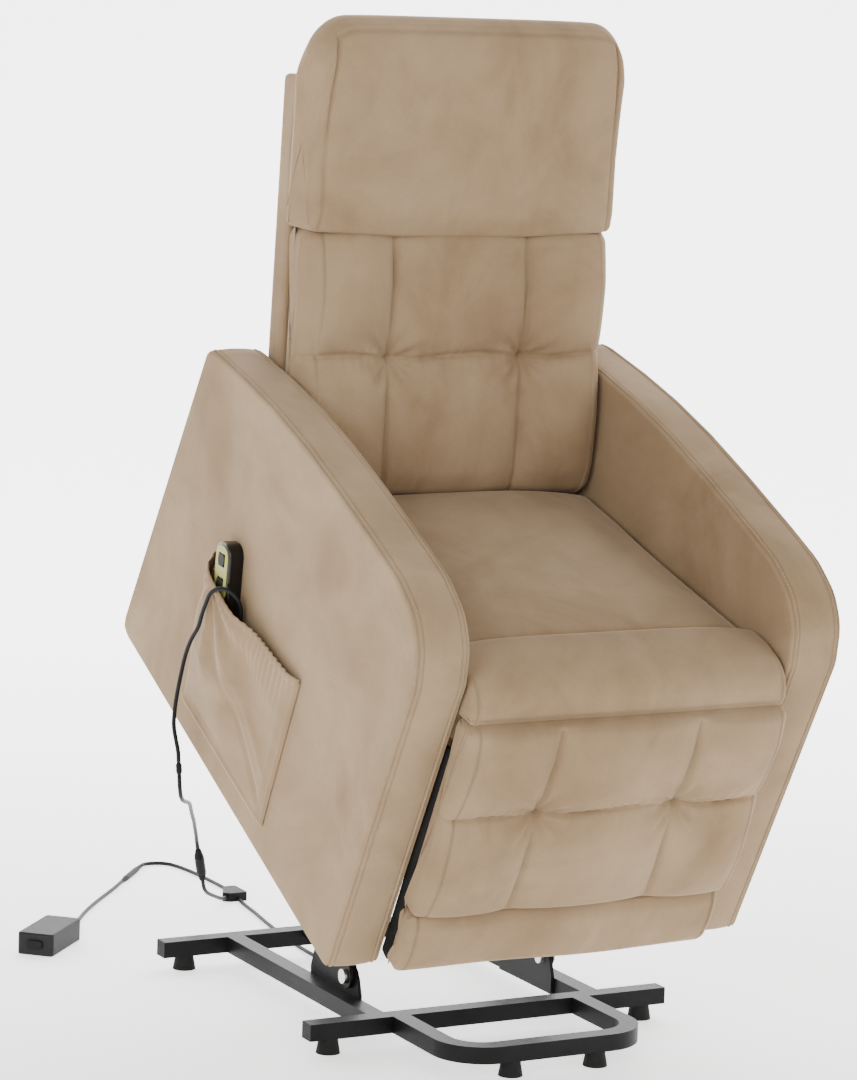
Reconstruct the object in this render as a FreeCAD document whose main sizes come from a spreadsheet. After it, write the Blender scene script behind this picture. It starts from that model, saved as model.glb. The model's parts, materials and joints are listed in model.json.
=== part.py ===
import FreeCAD, Part
import math
import os
import Sketcher
from FreeCAD import Placement, Rotation, Vector

# Lift recliner chair with its footrest folded, the seat raised and tipped forward.
# Millimetres.  The chair's own frame runs u rearward and v up from the front of the arms'
# underside; "tilt" turns it forward about X.  The back's frame runs b rearward and h up.
os.makedirs("parts", exist_ok=True)
doc = FreeCAD.newDocument("lift_recliner")

SIZES = [
    # where the working axes lie from the middle of the footprint
    ("shift_x", 15.5), ("shift_y", 240.45),
    # base tubes and feet
    ("tube_width", 28), ("tube_height", 25), ("tube_wall", 1.5), ("tube_mid_z", 35),
    ("rear_tube_y", 636), ("rear_tube_half", 301), ("front_tube_y", 128), ("front_tube_half", 296),
    ("rail_x", 181), ("loop_x", 151), ("loop_front_y", -70), ("loop_radius", 60),
    ("foot_radius", 18), ("foot_height", 22.5), ("foot_x", 263), ("front_foot_x", 70),
    ("cap_flange", 3), ("cap_plug", 12),
    # the chair's place and lean
    ("tilt", 26.1), ("chair_y", -27), ("chair_z", 154),
    # lift linkage
    ("front_pivot_y", 255), ("front_pivot_z", 74), ("rear_pivot_y", 345), ("rear_pivot_z", 90),
    ("front_link_length", 322.1), ("front_link_angle", 68.19),
    ("rear_link_length", 430.2), ("rear_link_angle", 61.82),
    ("link_half", 18), ("link_thick", 6), ("pin_radius", 6), ("pin_clearance", 0.05),
    ("front_link_x", 171), ("rear_link_x", 157.5), ("bracket_x", 164.25), ("bracket_thick", 5.5),
    ("side_plate_x", 164), ("side_plate_thick", 5), ("slack", 4.2),
    ("front_joint_u", 457.0767), ("front_joint_v", 19.9976),
    ("rear_joint_u", 655.1808), ("rear_joint_v", 30.0302),
    # actuator
    ("crank_radius", 120), ("crank_angle", 108), ("crank_x", 17), ("crank_thick", 6),
    ("axle_radius", 14), ("ram_v", 147), ("ram_start_u", 330), ("ram_tube_radius", 16),
    ("ram_rod_radius", 9), ("ram_tube_end_u", 592),
    # seat structure
    ("inner_half", 257), ("cross_tube", 25), ("front_cross_u", 300), ("front_cross_v", 152),
    ("rear_cross_u", 560), ("rear_cross_v", 207),
    # arms
    ("arm_inner_x", 257), ("arm_width", 83), ("arm_wall", 14), ("arm_round", 11),
    ("arm_frame_thick", 16),
    # cushions
    ("seat_half", 254), ("cushion_round", 16),
    # back
    ("hinge_u", 650), ("hinge_v", 300), ("lean", 22), ("back_half", 255), ("head_half", 264),
    ("hinge_radius", 8), ("bush_radius", 14),
    # footrest chain
    ("fold_length", 205), ("chain_u", 150), ("chain_v", 330), ("knee_u", 208.9515), ("knee_v", 133.6592),
    ("rest_u", 28), ("rest_v", 230), ("fold_half", 12), ("fold_thick", 6), ("chain_pin", 5),
    ("inner_fold_x", 229), ("outer_fold_x", 236.5), ("rest_plate_x", 243), ("rest_plate_thick", 4.5),
    ("rest_half", 256), ("board_half", 245),
    # pocket and handset
    ("pocket_depth", 31), ("pocket_wall", 2), ("handset_width", 49), ("handset_thick", 24),
    ("handset_length", 168), ("handset_lean", 19), ("handset_u", 500), ("handset_v", 206),
    # cords and power supply
    ("cord_diameter", 6.5), ("brick_length", 124), ("brick_width", 60), ("brick_height", 36),
]
sheet = doc.addObject("Spreadsheet::Sheet", "dims")
for row, (alias, value) in enumerate(SIZES, 1):
    sheet.set("A%d" % row, alias)
    sheet.set("B%d" % row, str(value))
    sheet.setAlias("B%d" % row, alias)
doc.recompute()
D = dict(SIZES)
PARTS = []


# ---------------------------------------------------------------- helpers
def named(kind, name):
    obj = doc.addObject(kind, name)
    obj.Label = name
    return obj


def place(obj, x, y, z, angle="0", spin=None):
    """Sets an object at (x, y, z) of the working axes, turned about X (or spun first)."""
    obj.Placement = Placement(Vector(), spin if spin else Rotation(Vector(1, 0, 0), 1))
    obj.setExpression("Placement.Base.x", "dims.shift_x + (%s)" % x)
    obj.setExpression("Placement.Base.y", "(%s) - dims.shift_y" % y)
    obj.setExpression("Placement.Base.z", z)
    if not spin:
        obj.setExpression("Placement.Rotation.Angle", angle)


def chair_point(u, v):
    c, s = "cos(dims.tilt * 1 deg)", "sin(dims.tilt * 1 deg)"
    y = "dims.chair_y + %s * (%s) - %s * (%s)" % (c, u, s, v)
    z = "dims.chair_z + %s * (%s) + %s * (%s)" % (s, u, c, v)
    return y, z


def back_point(b, h):
    c, s = "cos(dims.lean * 1 deg)", "sin(dims.lean * 1 deg)"
    u = "dims.hinge_u + %s * (%s) + %s * (%s)" % (c, b, s, h)
    v = "dims.hinge_v - %s * (%s) + %s * (%s)" % (s, b, c, h)
    return chair_point(u, v)


def on_floor(obj, x="0", y="0", z="0", spin=None):
    place(obj, x, y, z, "0", spin)


def on_chair(obj, x="0", u="0", v="0", turn="0"):
    y, z = chair_point(u, v)
    place(obj, x, y, z, "dims.tilt + (%s)" % turn)


def on_back(obj, x="0", b="0", h="0"):
    y, z = back_point(b, h)
    place(obj, x, y, z, "dims.tilt - dims.lean")


def plane(body, role):
    return [f for f in body.Origin.OriginFeatures if f.Role == role][0]


def outline(body, role, loops, name="outline"):
    """Sketch of closed loops: a list of (x, y) expressions, or ("ring", x, y, radius)."""
    sk = body.newObject("Sketcher::SketchObject", name)
    sk.AttachmentSupport = [(plane(body, role), "")]
    sk.MapMode = "FlatFace"

    def fix(kind, geo, pos, value):
        k = sk.addConstraint(Sketcher.Constraint(kind, -1, 1, geo, pos, 1.0))
        sk.setExpression("Constraints[%d]" % k, value)

    for loop in loops:
        first = sk.GeometryCount
        if loop[0] == "ring":
            sk.addGeometry(Part.Circle(Vector(7, 5, 0), Vector(0, 0, 1), 2), False)
            fix("DistanceX", first, 3, loop[1])
            fix("DistanceY", first, 3, loop[2])
            k = sk.addConstraint(Sketcher.Constraint("Radius", first, 2.0))
            sk.setExpression("Constraints[%d]" % k, loop[3])
            continue
        n = len(loop)
        for i in range(n):
            a = Vector(i, i * i % 7, 0)
            b = Vector(i + 1, (i + 1) ** 2 % 7, 0)
            sk.addGeometry(Part.LineSegment(a, b), False)
        for i in range(n):
            sk.addConstraint(Sketcher.Constraint("Coincident", first + i, 2, first + (i + 1) % n, 1))
        for i, (ex, ey) in enumerate(loop):
            fix("DistanceX", first + i, 1, str(ex))
            fix("DistanceY", first + i, 1, str(ey))
    return sk


def slab(name, loops, width, role="YZ_Plane", round_all=None, round_along=None, pockets=()):
    """Body padded equally both ways from its sketch plane, with rounded edges and pockets."""
    body = named("PartDesign::Body", name)
    pad = body.newObject("PartDesign::Pad", "pad")
    pad.Profile = outline(body, role, loops)
    pad.setExpression("Length", width)
    pad.SideType = "Symmetric"
    doc.recompute()
    tip = pad
    axis = {"YZ_Plane": "XLength", "XZ_Plane": "YLength", "XY_Plane": "ZLength"}[role]
    if round_along:
        radius, corners = round_along
        edges = []
        for i, e in enumerate(tip.Shape.Edges, 1):
            span = [e.BoundBox.XLength, e.BoundBox.YLength, e.BoundBox.ZLength]
            along = getattr(e.BoundBox, axis)
            if len(e.Vertexes) == 2 and sum(span) - along < 1e-6:
                m = e.BoundBox.Center
                here = (m.y, m.z) if role == "YZ_Plane" else (m.x, m.z)
                if role == "XY_Plane":
                    here = (m.x, m.y)
                if corners is None or any(math.dist(here, c) < 1.0 for c in corners):
                    edges.append("Edge%d" % i)
        tip = fillet(body, tip, edges, radius)
    if round_all:
        edges = []
        for i, e in enumerate(tip.Shape.Edges, 1):
            if getattr(e.BoundBox, axis) < 1e-6:
                edges.append("Edge%d" % i)
        tip = fillet(body, tip, edges, round_all)
    for n, (cut_loops, cut_width) in enumerate(pockets):
        cut = body.newObject("PartDesign::Pocket", "pocket%d" % n)
        cut.Profile = outline(body, role, cut_loops, "cut%d" % n)
        cut.setExpression("Length", cut_width)
        cut.SideType = "Symmetric"
        doc.recompute()
        tip = cut
    body.Tip = tip
    return body


def fillet(body, tip, edges, radius):
    f = body.newObject("PartDesign::Fillet", "round")
    f.Base = (tip, edges)
    f.setExpression("Radius", radius)
    doc.recompute()
    return f


def rect(width, height, x="0", y="0"):
    return [("(%s) - (%s) / 2" % (x, width), "(%s) - (%s) / 2" % (y, height)),
            ("(%s) + (%s) / 2" % (x, width), "(%s) - (%s) / 2" % (y, height)),
            ("(%s) + (%s) / 2" % (x, width), "(%s) + (%s) / 2" % (y, height)),
            ("(%s) - (%s) / 2" % (x, width), "(%s) + (%s) / 2" % (y, height))]


def span(x0, x1, y0, y1):
    return [(x0, y0), (x1, y0), (x1, y1), (x0, y1)]


def offset_polygon(points, d):
    """Points of a closed anticlockwise polygon moved inward by d."""
    out = []
    n = len(points)
    for i in range(n):
        (ax, ay), (bx, by), (cx, cy) = points[i - 1], points[i], points[(i + 1) % n]
        l1, l2 = math.dist((ax, ay), (bx, by)), math.dist((bx, by), (cx, cy))
        n1 = (-(by - ay) / l1, (bx - ax) / l1)
        n2 = (-(cy - by) / l2, (cx - bx) / l2)
        k = d / (1 + n1[0] * n2[0] + n1[1] * n2[1])
        out.append((bx + k * (n1[0] + n2[0]), by + k * (n1[1] + n2[1])))
    return out


def text(points):
    return [("%.3f" % x, "%.3f" % y) for x, y in points]


def done(obj):
    PARTS.append(obj)
    return obj


def rod(name, radius, length, inner=None):
    """Cylinder (or tube) whose axis will lie along X, centred on its middle."""
    cyl = named("Part::Cylinder", name + "_body")
    cyl.setExpression("Radius", radius)
    cyl.setExpression("Height", length)
    cyl.Placement = Placement(Vector(), Rotation(Vector(0, 1, 0), 90))
    cyl.setExpression("Placement.Base.x", "-(%s) / 2" % length)
    if inner is None:
        return cyl
    hole = named("Part::Cylinder", name + "_hole")
    hole.setExpression("Radius", inner)
    hole.setExpression("Height", "(%s) + 2" % length)
    hole.Placement = cyl.Placement
    hole.setExpression("Placement.Base.x", "-(%s) / 2 - 1" % length)
    cut = named("Part::Cut", name + "_tube")
    cut.Base, cut.Tool = cyl, hole
    return cut


def at_x(obj, x, y="0", z="0"):
    obj.setExpression("Placement.Base.x", "%s + (%s)" % (x, "0"))
    obj.setExpression("Placement.Base.y", y)
    obj.setExpression("Placement.Base.z", z)
    return obj


def cyl_x(name, radius, x0, x1, y="0", z="0"):
    """Cylinder along X from x0 to x1 about (y, z)."""
    c = named("Part::Cylinder", name)
    c.setExpression("Radius", radius)
    c.setExpression("Height", "(%s) - (%s)" % (x1, x0))
    c.Placement = Placement(Vector(), Rotation(Vector(0, 1, 0), 90))
    return at_x(c, x0, y, z)


def box(name, x0, x1, y0, y1, z0, z1):
    b = named("Part::Box", name)
    b.setExpression("Length", "(%s) - (%s)" % (x1, x0))
    b.setExpression("Width", "(%s) - (%s)" % (y1, y0))
    b.setExpression("Height", "(%s) - (%s)" % (z1, z0))
    b.setExpression("Placement.Base.x", str(x0))
    b.setExpression("Placement.Base.y", str(y0))
    b.setExpression("Placement.Base.z", str(z0))
    return b


def fuse(name, shapes):
    f = named("Part::MultiFuse", name)
    f.Shapes = shapes
    return f


def group(name, shapes):
    g = named("Part::Compound", name)
    g.Links = shapes
    return g


# ---------------------------------------------------------------- base frame
TUBE = [rect("dims.tube_width", "dims.tube_height"),
        rect("dims.tube_width - 2 * dims.tube_wall", "dims.tube_height - 2 * dims.tube_wall")]
rear_tube = done(slab("base_rear_tube", TUBE, "2 * dims.rear_tube_half"))
on_floor(rear_tube, "0", "dims.rear_tube_y", "dims.tube_mid_z")
front_tube = done(slab("base_front_tube", TUBE, "2 * dims.front_tube_half"))
on_floor(front_tube, "0", "dims.front_tube_y", "dims.tube_mid_z")
rails = []
for side, sign in (("left", "1"), ("right", "-1")):
    rail = slab("base_rail_" + side, TUBE, "dims.rear_tube_y - dims.front_tube_y - dims.tube_width",
                role="XZ_Plane")
    rail.setExpression("Placement.Base.x", sign + " * dims.rail_x")
    rails.append(rail)
rails = done(group("base_side_rails", rails))
on_floor(rails, "0", "(dims.rear_tube_y + dims.front_tube_y) / 2", "dims.tube_mid_z")

loop = named("PartDesign::Body", "base_front_loop")
path = loop.newObject("Sketcher::SketchObject", "path")
path.AttachmentSupport = [(plane(loop, "XY_Plane"), "")]
path.MapMode = "FlatFace"
half, radius = D["loop_x"], D["loop_radius"]
reach = D["front_tube_y"] - D["tube_width"] / 2 - D["loop_front_y"]
up = Vector(0, 0, 1)
path.addGeometry([
    Part.LineSegment(Vector(half, reach, 0), Vector(half, radius, 0)),
    Part.ArcOfCircle(Part.Circle(Vector(half - radius, radius, 0), up, radius), -math.pi / 2, 0),
    Part.LineSegment(Vector(half - radius, 0, 0), Vector(radius - half, 0, 0)),
    Part.ArcOfCircle(Part.Circle(Vector(radius - half, radius, 0), up, radius), math.pi, 1.5 * math.pi),
    Part.LineSegment(Vector(-half, radius, 0), Vector(-half, reach, 0))], False)
section = outline(loop, "XZ_Plane", [
    rect("dims.tube_width", "dims.tube_height", "dims.loop_x"),
    rect("dims.tube_width - 2 * dims.tube_wall", "dims.tube_height - 2 * dims.tube_wall",
         "dims.loop_x")], "section")
section.AttachmentOffset = Placement(Vector(0, 0, -reach), Rotation())
section.setExpression("AttachmentOffset.Base.z",
                      "-(dims.front_tube_y - dims.tube_width / 2 - dims.loop_front_y)")
pipe = loop.newObject("PartDesign::AdditivePipe", "pipe")
pipe.Profile = section
pipe.Spine = (path, ["Edge1", "Edge2", "Edge3", "Edge4", "Edge5"])
pipe.Mode = "Standard"
on_floor(loop, "0", "dims.loop_front_y", "dims.tube_mid_z")
done(loop)

caps = []
for tube, y in (("rear", "dims.rear_tube_y"), ("front", "dims.front_tube_y")):
    for side, sign in (("left", 1), ("right", -1)):
        end = "dims.%s_tube_half" % tube
        name = "cap_%s_%s" % (tube, side)
        inside = "(dims.tube_width / 2 - dims.tube_wall)"
        inner_z = "(dims.tube_height / 2 - dims.tube_wall)"
        plate_x = [end, end + " + dims.cap_flange"]
        plug_x = [end + " - dims.cap_plug", end]
        if sign < 0:
            plate_x = ["-(%s)" % e for e in reversed(plate_x)]
            plug_x = ["-(%s)" % e for e in reversed(plug_x)]
        plate = box(name + "_plate", plate_x[0], plate_x[1], "-dims.tube_width / 2",
                    "dims.tube_width / 2", "-dims.tube_height / 2", "dims.tube_height / 2")
        plug = box(name + "_plug", plug_x[0], plug_x[1], "-" + inside, inside, "-" + inner_z, inner_z)
        cap = fuse(name, [plate, plug])
        cap.setExpression("Placement.Base.y", y + " - dims.rear_tube_y")
        caps.append(cap)
caps = done(group("tube_end_caps", caps))
on_floor(caps, "0", "dims.rear_tube_y", "dims.tube_mid_z")

feet = []
FEET = [(s, x, y) for s in (1, -1) for x, y in (("dims.foot_x", "dims.rear_tube_y"),
        ("dims.foot_x", "dims.front_tube_y"), ("dims.front_foot_x", "dims.loop_front_y"))]
for n, (s, x, y) in enumerate(FEET):
    foot = named("Part::Cone", "foot%d" % n)
    foot.setExpression("Radius1", "dims.foot_radius")
    foot.setExpression("Radius2", "dims.foot_radius - 4")
    foot.setExpression("Height", "dims.foot_height")
    foot.setExpression("Placement.Base.x", "%d * %s" % (s, x))
    foot.setExpression("Placement.Base.y", y)
    feet.append(foot)
feet = done(group("base_feet", feet))
on_floor(feet)

# upright plates on the rails' inner faces that carry both links
plate_profile = [(222, 22.5), (384, 22.5), (384, 60), (366, 104), (352, 111), (336, 111),
                 (262, 96), (244, 92), (230, 74), (222, 50)]
plates = []
for side, sign in (("left", "1"), ("right", "-1")):
    loops = [text(plate_profile),
             ("ring", "dims.front_pivot_y", "dims.front_pivot_z", "dims.pin_radius"),
             ("ring", "dims.rear_pivot_y", "dims.rear_pivot_z", "dims.pin_radius")]
    plate = slab("lift_bracket_" + side, loops, "dims.bracket_thick")
    plate.setExpression("Placement.Base.x", sign + " * dims.bracket_x")
    plates.append(plate)
on_floor(done(group("lift_brackets", plates)))


def link(name, length, holes, thick, half):
    """Flat bar along Y with rounded ends; holes lists the radius at its start and end."""
    bar = [("-(%s)" % half, "-(%s)" % half), ("(%s) + (%s)" % (length, half), "-(%s)" % half),
           ("(%s) + (%s)" % (length, half), half), ("-(%s)" % half, half)]
    loops = [bar, ("ring", "0", "0", holes[0]), ("ring", length, "0", holes[1])]
    return slab(name, loops, thick, round_along=("(%s) - 0.5" % half, None))


HOLE = "dims.pin_radius + dims.pin_clearance"
front_bars, rear_bars = [], []
for side, sign in (("left", "1"), ("right", "-1")):
    bar = link("front_link_" + side, "dims.front_link_length",
               [HOLE, "dims.pin_radius + dims.slack"], "dims.link_thick", "dims.link_half")
    bar.setExpression("Placement.Base.x", sign + " * dims.front_link_x")
    front_bars.append(bar)
    bar = link("rear_link_" + side, "dims.rear_link_length",
               [HOLE, "dims.axle_radius"], "dims.link_thick", "dims.link_half + 4")
    bar.setExpression("Placement.Base.x", sign + " * dims.rear_link_x")
    rear_bars.append(bar)
place(done(group("front_links", front_bars)), "0", "dims.front_pivot_y", "dims.front_pivot_z",
      "dims.front_link_angle")
place(done(group("rear_links", rear_bars)), "0", "dims.rear_pivot_y", "dims.rear_pivot_z",
      "dims.rear_link_angle")

# base pivot bolts: front ones reach out to the front links, rear ones in to the rear links
bolts = []
for side in (1, -1):
    tag = "l" if side > 0 else "r"

    def span_x(x0, x1):
        return (x0, x1) if side > 0 else ("-(%s)" % x1, "-(%s)" % x0)

    for name, radius, x0, x1, y, z in (
            ("fa", "dims.pin_radius", "160", "175", "dims.front_pivot_y", "dims.front_pivot_z"),
            ("fb", "dims.pin_radius + 5", "174.5", "180", "dims.front_pivot_y", "dims.front_pivot_z"),
            ("fc", "dims.pin_radius + 4", "155.5", "161.5", "dims.front_pivot_y", "dims.front_pivot_z"),
            ("ra", "dims.pin_radius", "153.5", "167.3", "dims.rear_pivot_y", "dims.rear_pivot_z"),
            ("rb", "dims.pin_radius + 5", "148", "154", "dims.rear_pivot_y", "dims.rear_pivot_z")):
        x0, x1 = span_x(x0, x1)
        bolts.append(cyl_x("base_bolt_%s_%s" % (name, tag), radius, x0, x1, y, z))
bolts = [fuse("base_bolt_%d" % i, bolts[i:j]) for i, j in ((0, 3), (3, 5), (5, 8), (8, 10))]
done(group("base_pivot_bolts", bolts))
on_floor(PARTS[-1])

# cable junction box hung on the rear tube
junction = done(named("PartDesign::Body", "junction_box"))
pad = junction.newObject("PartDesign::Pad", "pad")
pad.Profile = outline(junction, "XY_Plane", [span("-62", "-22", "592", "dims.rear_tube_y - 14")])
pad.Length = 45
doc.recompute()
fillet(junction, pad, ["Edge%d" % i for i, e in enumerate(pad.Shape.Edges, 1)
                       if e.BoundBox.ZLength > 1 and e.BoundBox.Center.y < 600], "3")
on_floor(junction, "0", "0", "36")

# ---------------------------------------------------------------- rear links' axle and crank
axle = rod("axle", "dims.axle_radius", "2 * (dims.rear_link_x + dims.link_thick / 2)",
           "dims.pin_radius + dims.pin_clearance")
axle = done(group("rear_link_axle", [axle]))
on_chair(axle, "0", "dims.rear_joint_u", "dims.rear_joint_v")
arms = []
for side in (1, -1):
    ear = slab("crank_ear_%s" % ("l" if side > 0 else "r"),
               [[("-16", "-16"), ("16", "-16"), ("12", "dims.crank_radius + 12"),
                 ("-12", "dims.crank_radius + 12")],
                ("ring", "0", "0", "dims.axle_radius"),
                ("ring", "0", "dims.crank_radius", "dims.pin_radius")],
               "dims.crank_thick", round_along=("11.5", None))
    ear.setExpression("Placement.Base.x", "%d * dims.crank_x" % side)
    arms.append(ear)
arms.append(cyl_x("crank_pin", "dims.pin_radius", "-(dims.crank_x + 6)", "dims.crank_x + 6", "0",
                  "dims.crank_radius"))
crank = done(group("lift_crank", arms))
on_chair(crank, "0", "dims.rear_joint_u", "dims.rear_joint_v", "dims.crank_angle - 90")

# ---------------------------------------------------------------- actuator
ram = [cyl_x("ram_tube", "dims.ram_tube_radius", "52", "dims.ram_tube_end_u - dims.ram_start_u"),
       box("gear_case", "-6", "56", "-24", "24", "-20", "20"),
       cyl_x("ram_bore", "dims.ram_rod_radius + dims.pin_clearance", "60",
             "dims.ram_tube_end_u - dims.ram_start_u + 1")]
ram_solid = fuse("ram_solid", ram[:2])
ram_cut = named("Part::Cut", "actuator_tube")
ram_cut.Base, ram_cut.Tool = ram_solid, ram[2]


def along_ram(obj, shift="0"):
    """Lays an object built along X so that it runs rearward in the chair's frame."""
    spin = Rotation(Vector(1, 0, 0), D["tilt"]) * Rotation(Vector(0, 0, 1), 90)
    y, z = chair_point("dims.ram_start_u + (%s)" % shift, "dims.ram_v")
    place(obj, "0", y, z, spin=spin)


along_ram(done(ram_cut))
motor = fuse("actuator_motor", [cyl_x("motor_can", "24", "8", "118", "-48"),
                                cyl_x("motor_cap", "19", "118", "124", "-48"),
                                box("motor_mount", "8", "44", "-46", "-24", "-12", "12")])
along_ram(done(motor))
eye_x = "dims.rear_joint_u - dims.ram_start_u + dims.crank_radius * cos(dims.crank_angle * 1 deg)"
eye = named("Part::Cylinder", "rod_eye_hole")
eye.setExpression("Radius", "dims.pin_radius + 3.6")
eye.Height = 40
eye.Placement = Placement(Vector(0, 20, 0), Rotation(Vector(1, 0, 0), 90))
eye.setExpression("Placement.Base.x", eye_x)
rod_solid = fuse("rod_solid", [cyl_x("rod_bar", "dims.ram_rod_radius", "120", eye_x + " - 12"),
                               box("rod_eye", eye_x + " - 16", eye_x + " + 16", "-12.5", "12.5",
                                   "-16", "16")])
ram_rod = named("Part::Cut", "actuator_rod")
ram_rod.Base, ram_rod.Tool = rod_solid, eye
along_ram(done(ram_rod))

# ---------------------------------------------------------------- seat structure
side_profile = [(433, 2), (475, -2), (640, 8), (676, 14), (680, 46), (655, 56), (600, 70),
                (578, 224), (542, 224), (528, 90), (470, 62), (330, 140), (316, 168), (284, 168),
                (284, 136), (400, 62), (433, 40)]
plates = []
for side, sign in (("left", "1"), ("right", "-1")):
    loops = [text(side_profile),
             ("ring", "dims.front_joint_u", "dims.front_joint_v", "dims.pin_radius"),
             ("ring", "dims.rear_joint_u", "dims.rear_joint_v", "dims.pin_radius")]
    pockets = [([rect("dims.cross_tube", "dims.cross_tube", "dims.front_cross_u", "dims.front_cross_v"),
                 rect("dims.cross_tube", "dims.cross_tube", "dims.rear_cross_u",
                      "dims.rear_cross_v")], "dims.side_plate_thick + 4")]
    plate = slab("seat_side_plate_" + side, loops, "dims.side_plate_thick", pockets=pockets)
    plate.setExpression("Placement.Base.x", sign + " * dims.side_plate_x")
    plates.append(plate)
on_chair(done(group("seat_side_plates", plates)))
CROSS = [rect("dims.cross_tube", "dims.cross_tube"),
         rect("dims.cross_tube - 3", "dims.cross_tube - 3")]
tubes = []
for name, u, v in (("seat_front_cross_tube", "dims.front_cross_u", "dims.front_cross_v"),
                   ("seat_rear_cross_tube", "dims.rear_cross_u", "dims.rear_cross_v")):
    tube = slab(name, CROSS, "2 * dims.inner_half")
    tube.setExpression("Placement.Base.y", u)
    tube.setExpression("Placement.Base.z", v)
    tubes.append(tube)
on_chair(done(group("seat_cross_tubes", tubes)))
rail = done(slab("seat_front_rail", [[("50", "345"), ("88", "345"), ("88", "392"), ("50", "394")]],
                 "2 * dims.inner_half"))
on_chair(rail)
rail = done(slab("seat_rear_rail", [[("562", "280"), ("586", "280"), ("586", "322"), ("562", "322")]],
                 "2 * dims.inner_half"))
on_chair(rail)
springs = []
for n in range(7):
    wire = slab("spring%d" % n, [[("88", "378"), ("562", "318"), ("562", "322.4"), ("88", "382.4")]],
                "4.4")
    wire.setExpression("Placement.Base.x", "%d * 68" % (n - 3))
    springs.append(wire)
springs = done(group("seat_springs", springs))
on_chair(springs)

# chair pivot bolts: front ones reach out to the front links, rear ones in through the axle
bolts = []
for side in (1, -1):
    tag = "l" if side > 0 else "r"
    rows = (("a", "dims.pin_radius", "161.2", "175", "front"),
            ("b", "dims.pin_radius + 8", "175", "181", "front"),
            ("c", "dims.pin_radius", "130", "168", "rear"),
            ("d", "dims.pin_radius + 5", "166.5", "172", "rear"))
    for name, radius, x0, x1, which in rows:
        if side < 0:
            x0, x1 = "-(%s)" % x1, "-(%s)" % x0
        bolts.append(cyl_x("chair_bolt_%s_%s" % (name, tag), radius, x0, x1,
                           "dims.%s_joint_u" % which, "dims.%s_joint_v" % which))
parts = []
for i in (0, 2, 4, 6):
    parts.append(fuse("chair_bolt_%d" % i, bolts[i:i + 2]))
done(group("chair_pivot_bolts", parts))
on_chair(PARTS[-1])

# ---------------------------------------------------------------- arms
ARM = [(24, 0), (824, 0), (845, 6), (848, 25), (792, 541), (782, 551), (760, 557), (658, 576),
       (560, 590), (450, 599), (330, 602), (200, 602), (120, 600), (60, 584), (24, 552), (7, 500),
       (8, 470)]
inner = offset_polygon(ARM, D["arm_wall"])
cavity = [(38, -5)] + [(812, -5)] + inner[3:]
board = offset_polygon([(38, -2)] + [(812, -2)] + inner[3:], 3.0)
frames = []
for side, sign in (("left", "1"), ("right", "-1")):
    mid = sign + " * (dims.arm_inner_x + dims.arm_width / 2)"
    pockets = [([text(cavity)], "dims.arm_width - 2 * dims.arm_wall")]
    arm = slab("arm_" + side, [text(ARM)], "dims.arm_width", round_all="dims.arm_round",
               pockets=pockets)
    # round seat for the recline bush, through the inner wall only
    cut = arm.newObject("PartDesign::Pocket", "bush_seat")
    cut.Profile = outline(arm, "YZ_Plane", [("ring", "dims.hinge_u", "dims.hinge_v",
                                             "dims.bush_radius")], "bush_outline")
    cut.Profile[0].AttachmentOffset = Placement(Vector(0, 0, 1), Rotation())
    cut.Profile[0].setExpression("AttachmentOffset.Base.z", "-%s * (dims.arm_width / 2)" % sign)
    cut.setExpression("Length", "dims.arm_wall")
    cut.Reversed = sign == "1"
    doc.recompute()
    arm.Tip = cut
    on_chair(done(arm), mid)
    frame = slab("arm_frame_" + side,
                 [text(board), text([(120, 150), (420, 150), (420, 470), (120, 500)]),
                  text([(520, 150), (730, 150), (700, 470), (520, 480)])], "dims.arm_frame_thick")
    frame.setExpression("Placement.Base.x",
                        sign + " * (dims.arm_inner_x + dims.arm_wall + dims.arm_frame_thick / 2)")
    frames.append(frame)
on_chair(done(group("arm_frames", frames)))
bushes = []
for side in (1, -1):
    x0, x1 = "dims.arm_inner_x", "dims.arm_inner_x + dims.arm_wall"
    if side < 0:
        x0, x1 = "-(%s)" % x1, "-(%s)" % x0
    tag = "l" if side > 0 else "r"
    ring = cyl_x("bush_" + tag, "dims.bush_radius", x0, x1, "dims.hinge_u", "dims.hinge_v")
    bore = cyl_x("bush_bore_" + tag, "dims.hinge_radius + dims.pin_clearance", "(%s) - 1" % x0,
                 "(%s) + 1" % x1, "dims.hinge_u", "dims.hinge_v")
    cut = named("Part::Cut", "bush_cut_" + tag)
    cut.Base, cut.Tool = ring, bore
    bushes.append(cut)
bushes = done(group("recline_bushes", bushes))
on_chair(bushes)

# ---------------------------------------------------------------- seat cushions
SEAT = [(118, 386), (600, 324), (600, 390), (572, 406), (480, 428), (370, 449), (250, 467),
        (118, 484)]
seat = done(slab("seat_cushion", [text(SEAT)], "2 * dims.seat_half",
                 round_along=("dims.cushion_round", [(600, 390), (118, 484)]),
                 round_all="9"))
on_chair(seat)
BOLSTER = [(16, 400), (115, 397), (115, 494), (98, 507), (60, 514), (22, 511), (-4, 500),
           (-17, 482), (-21, 464), (-19, 451), (16, 449)]
bolster = done(slab("seat_bolster", [text(BOLSTER)], "2 * dims.seat_half", round_all="7"))
on_chair(bolster)

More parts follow.
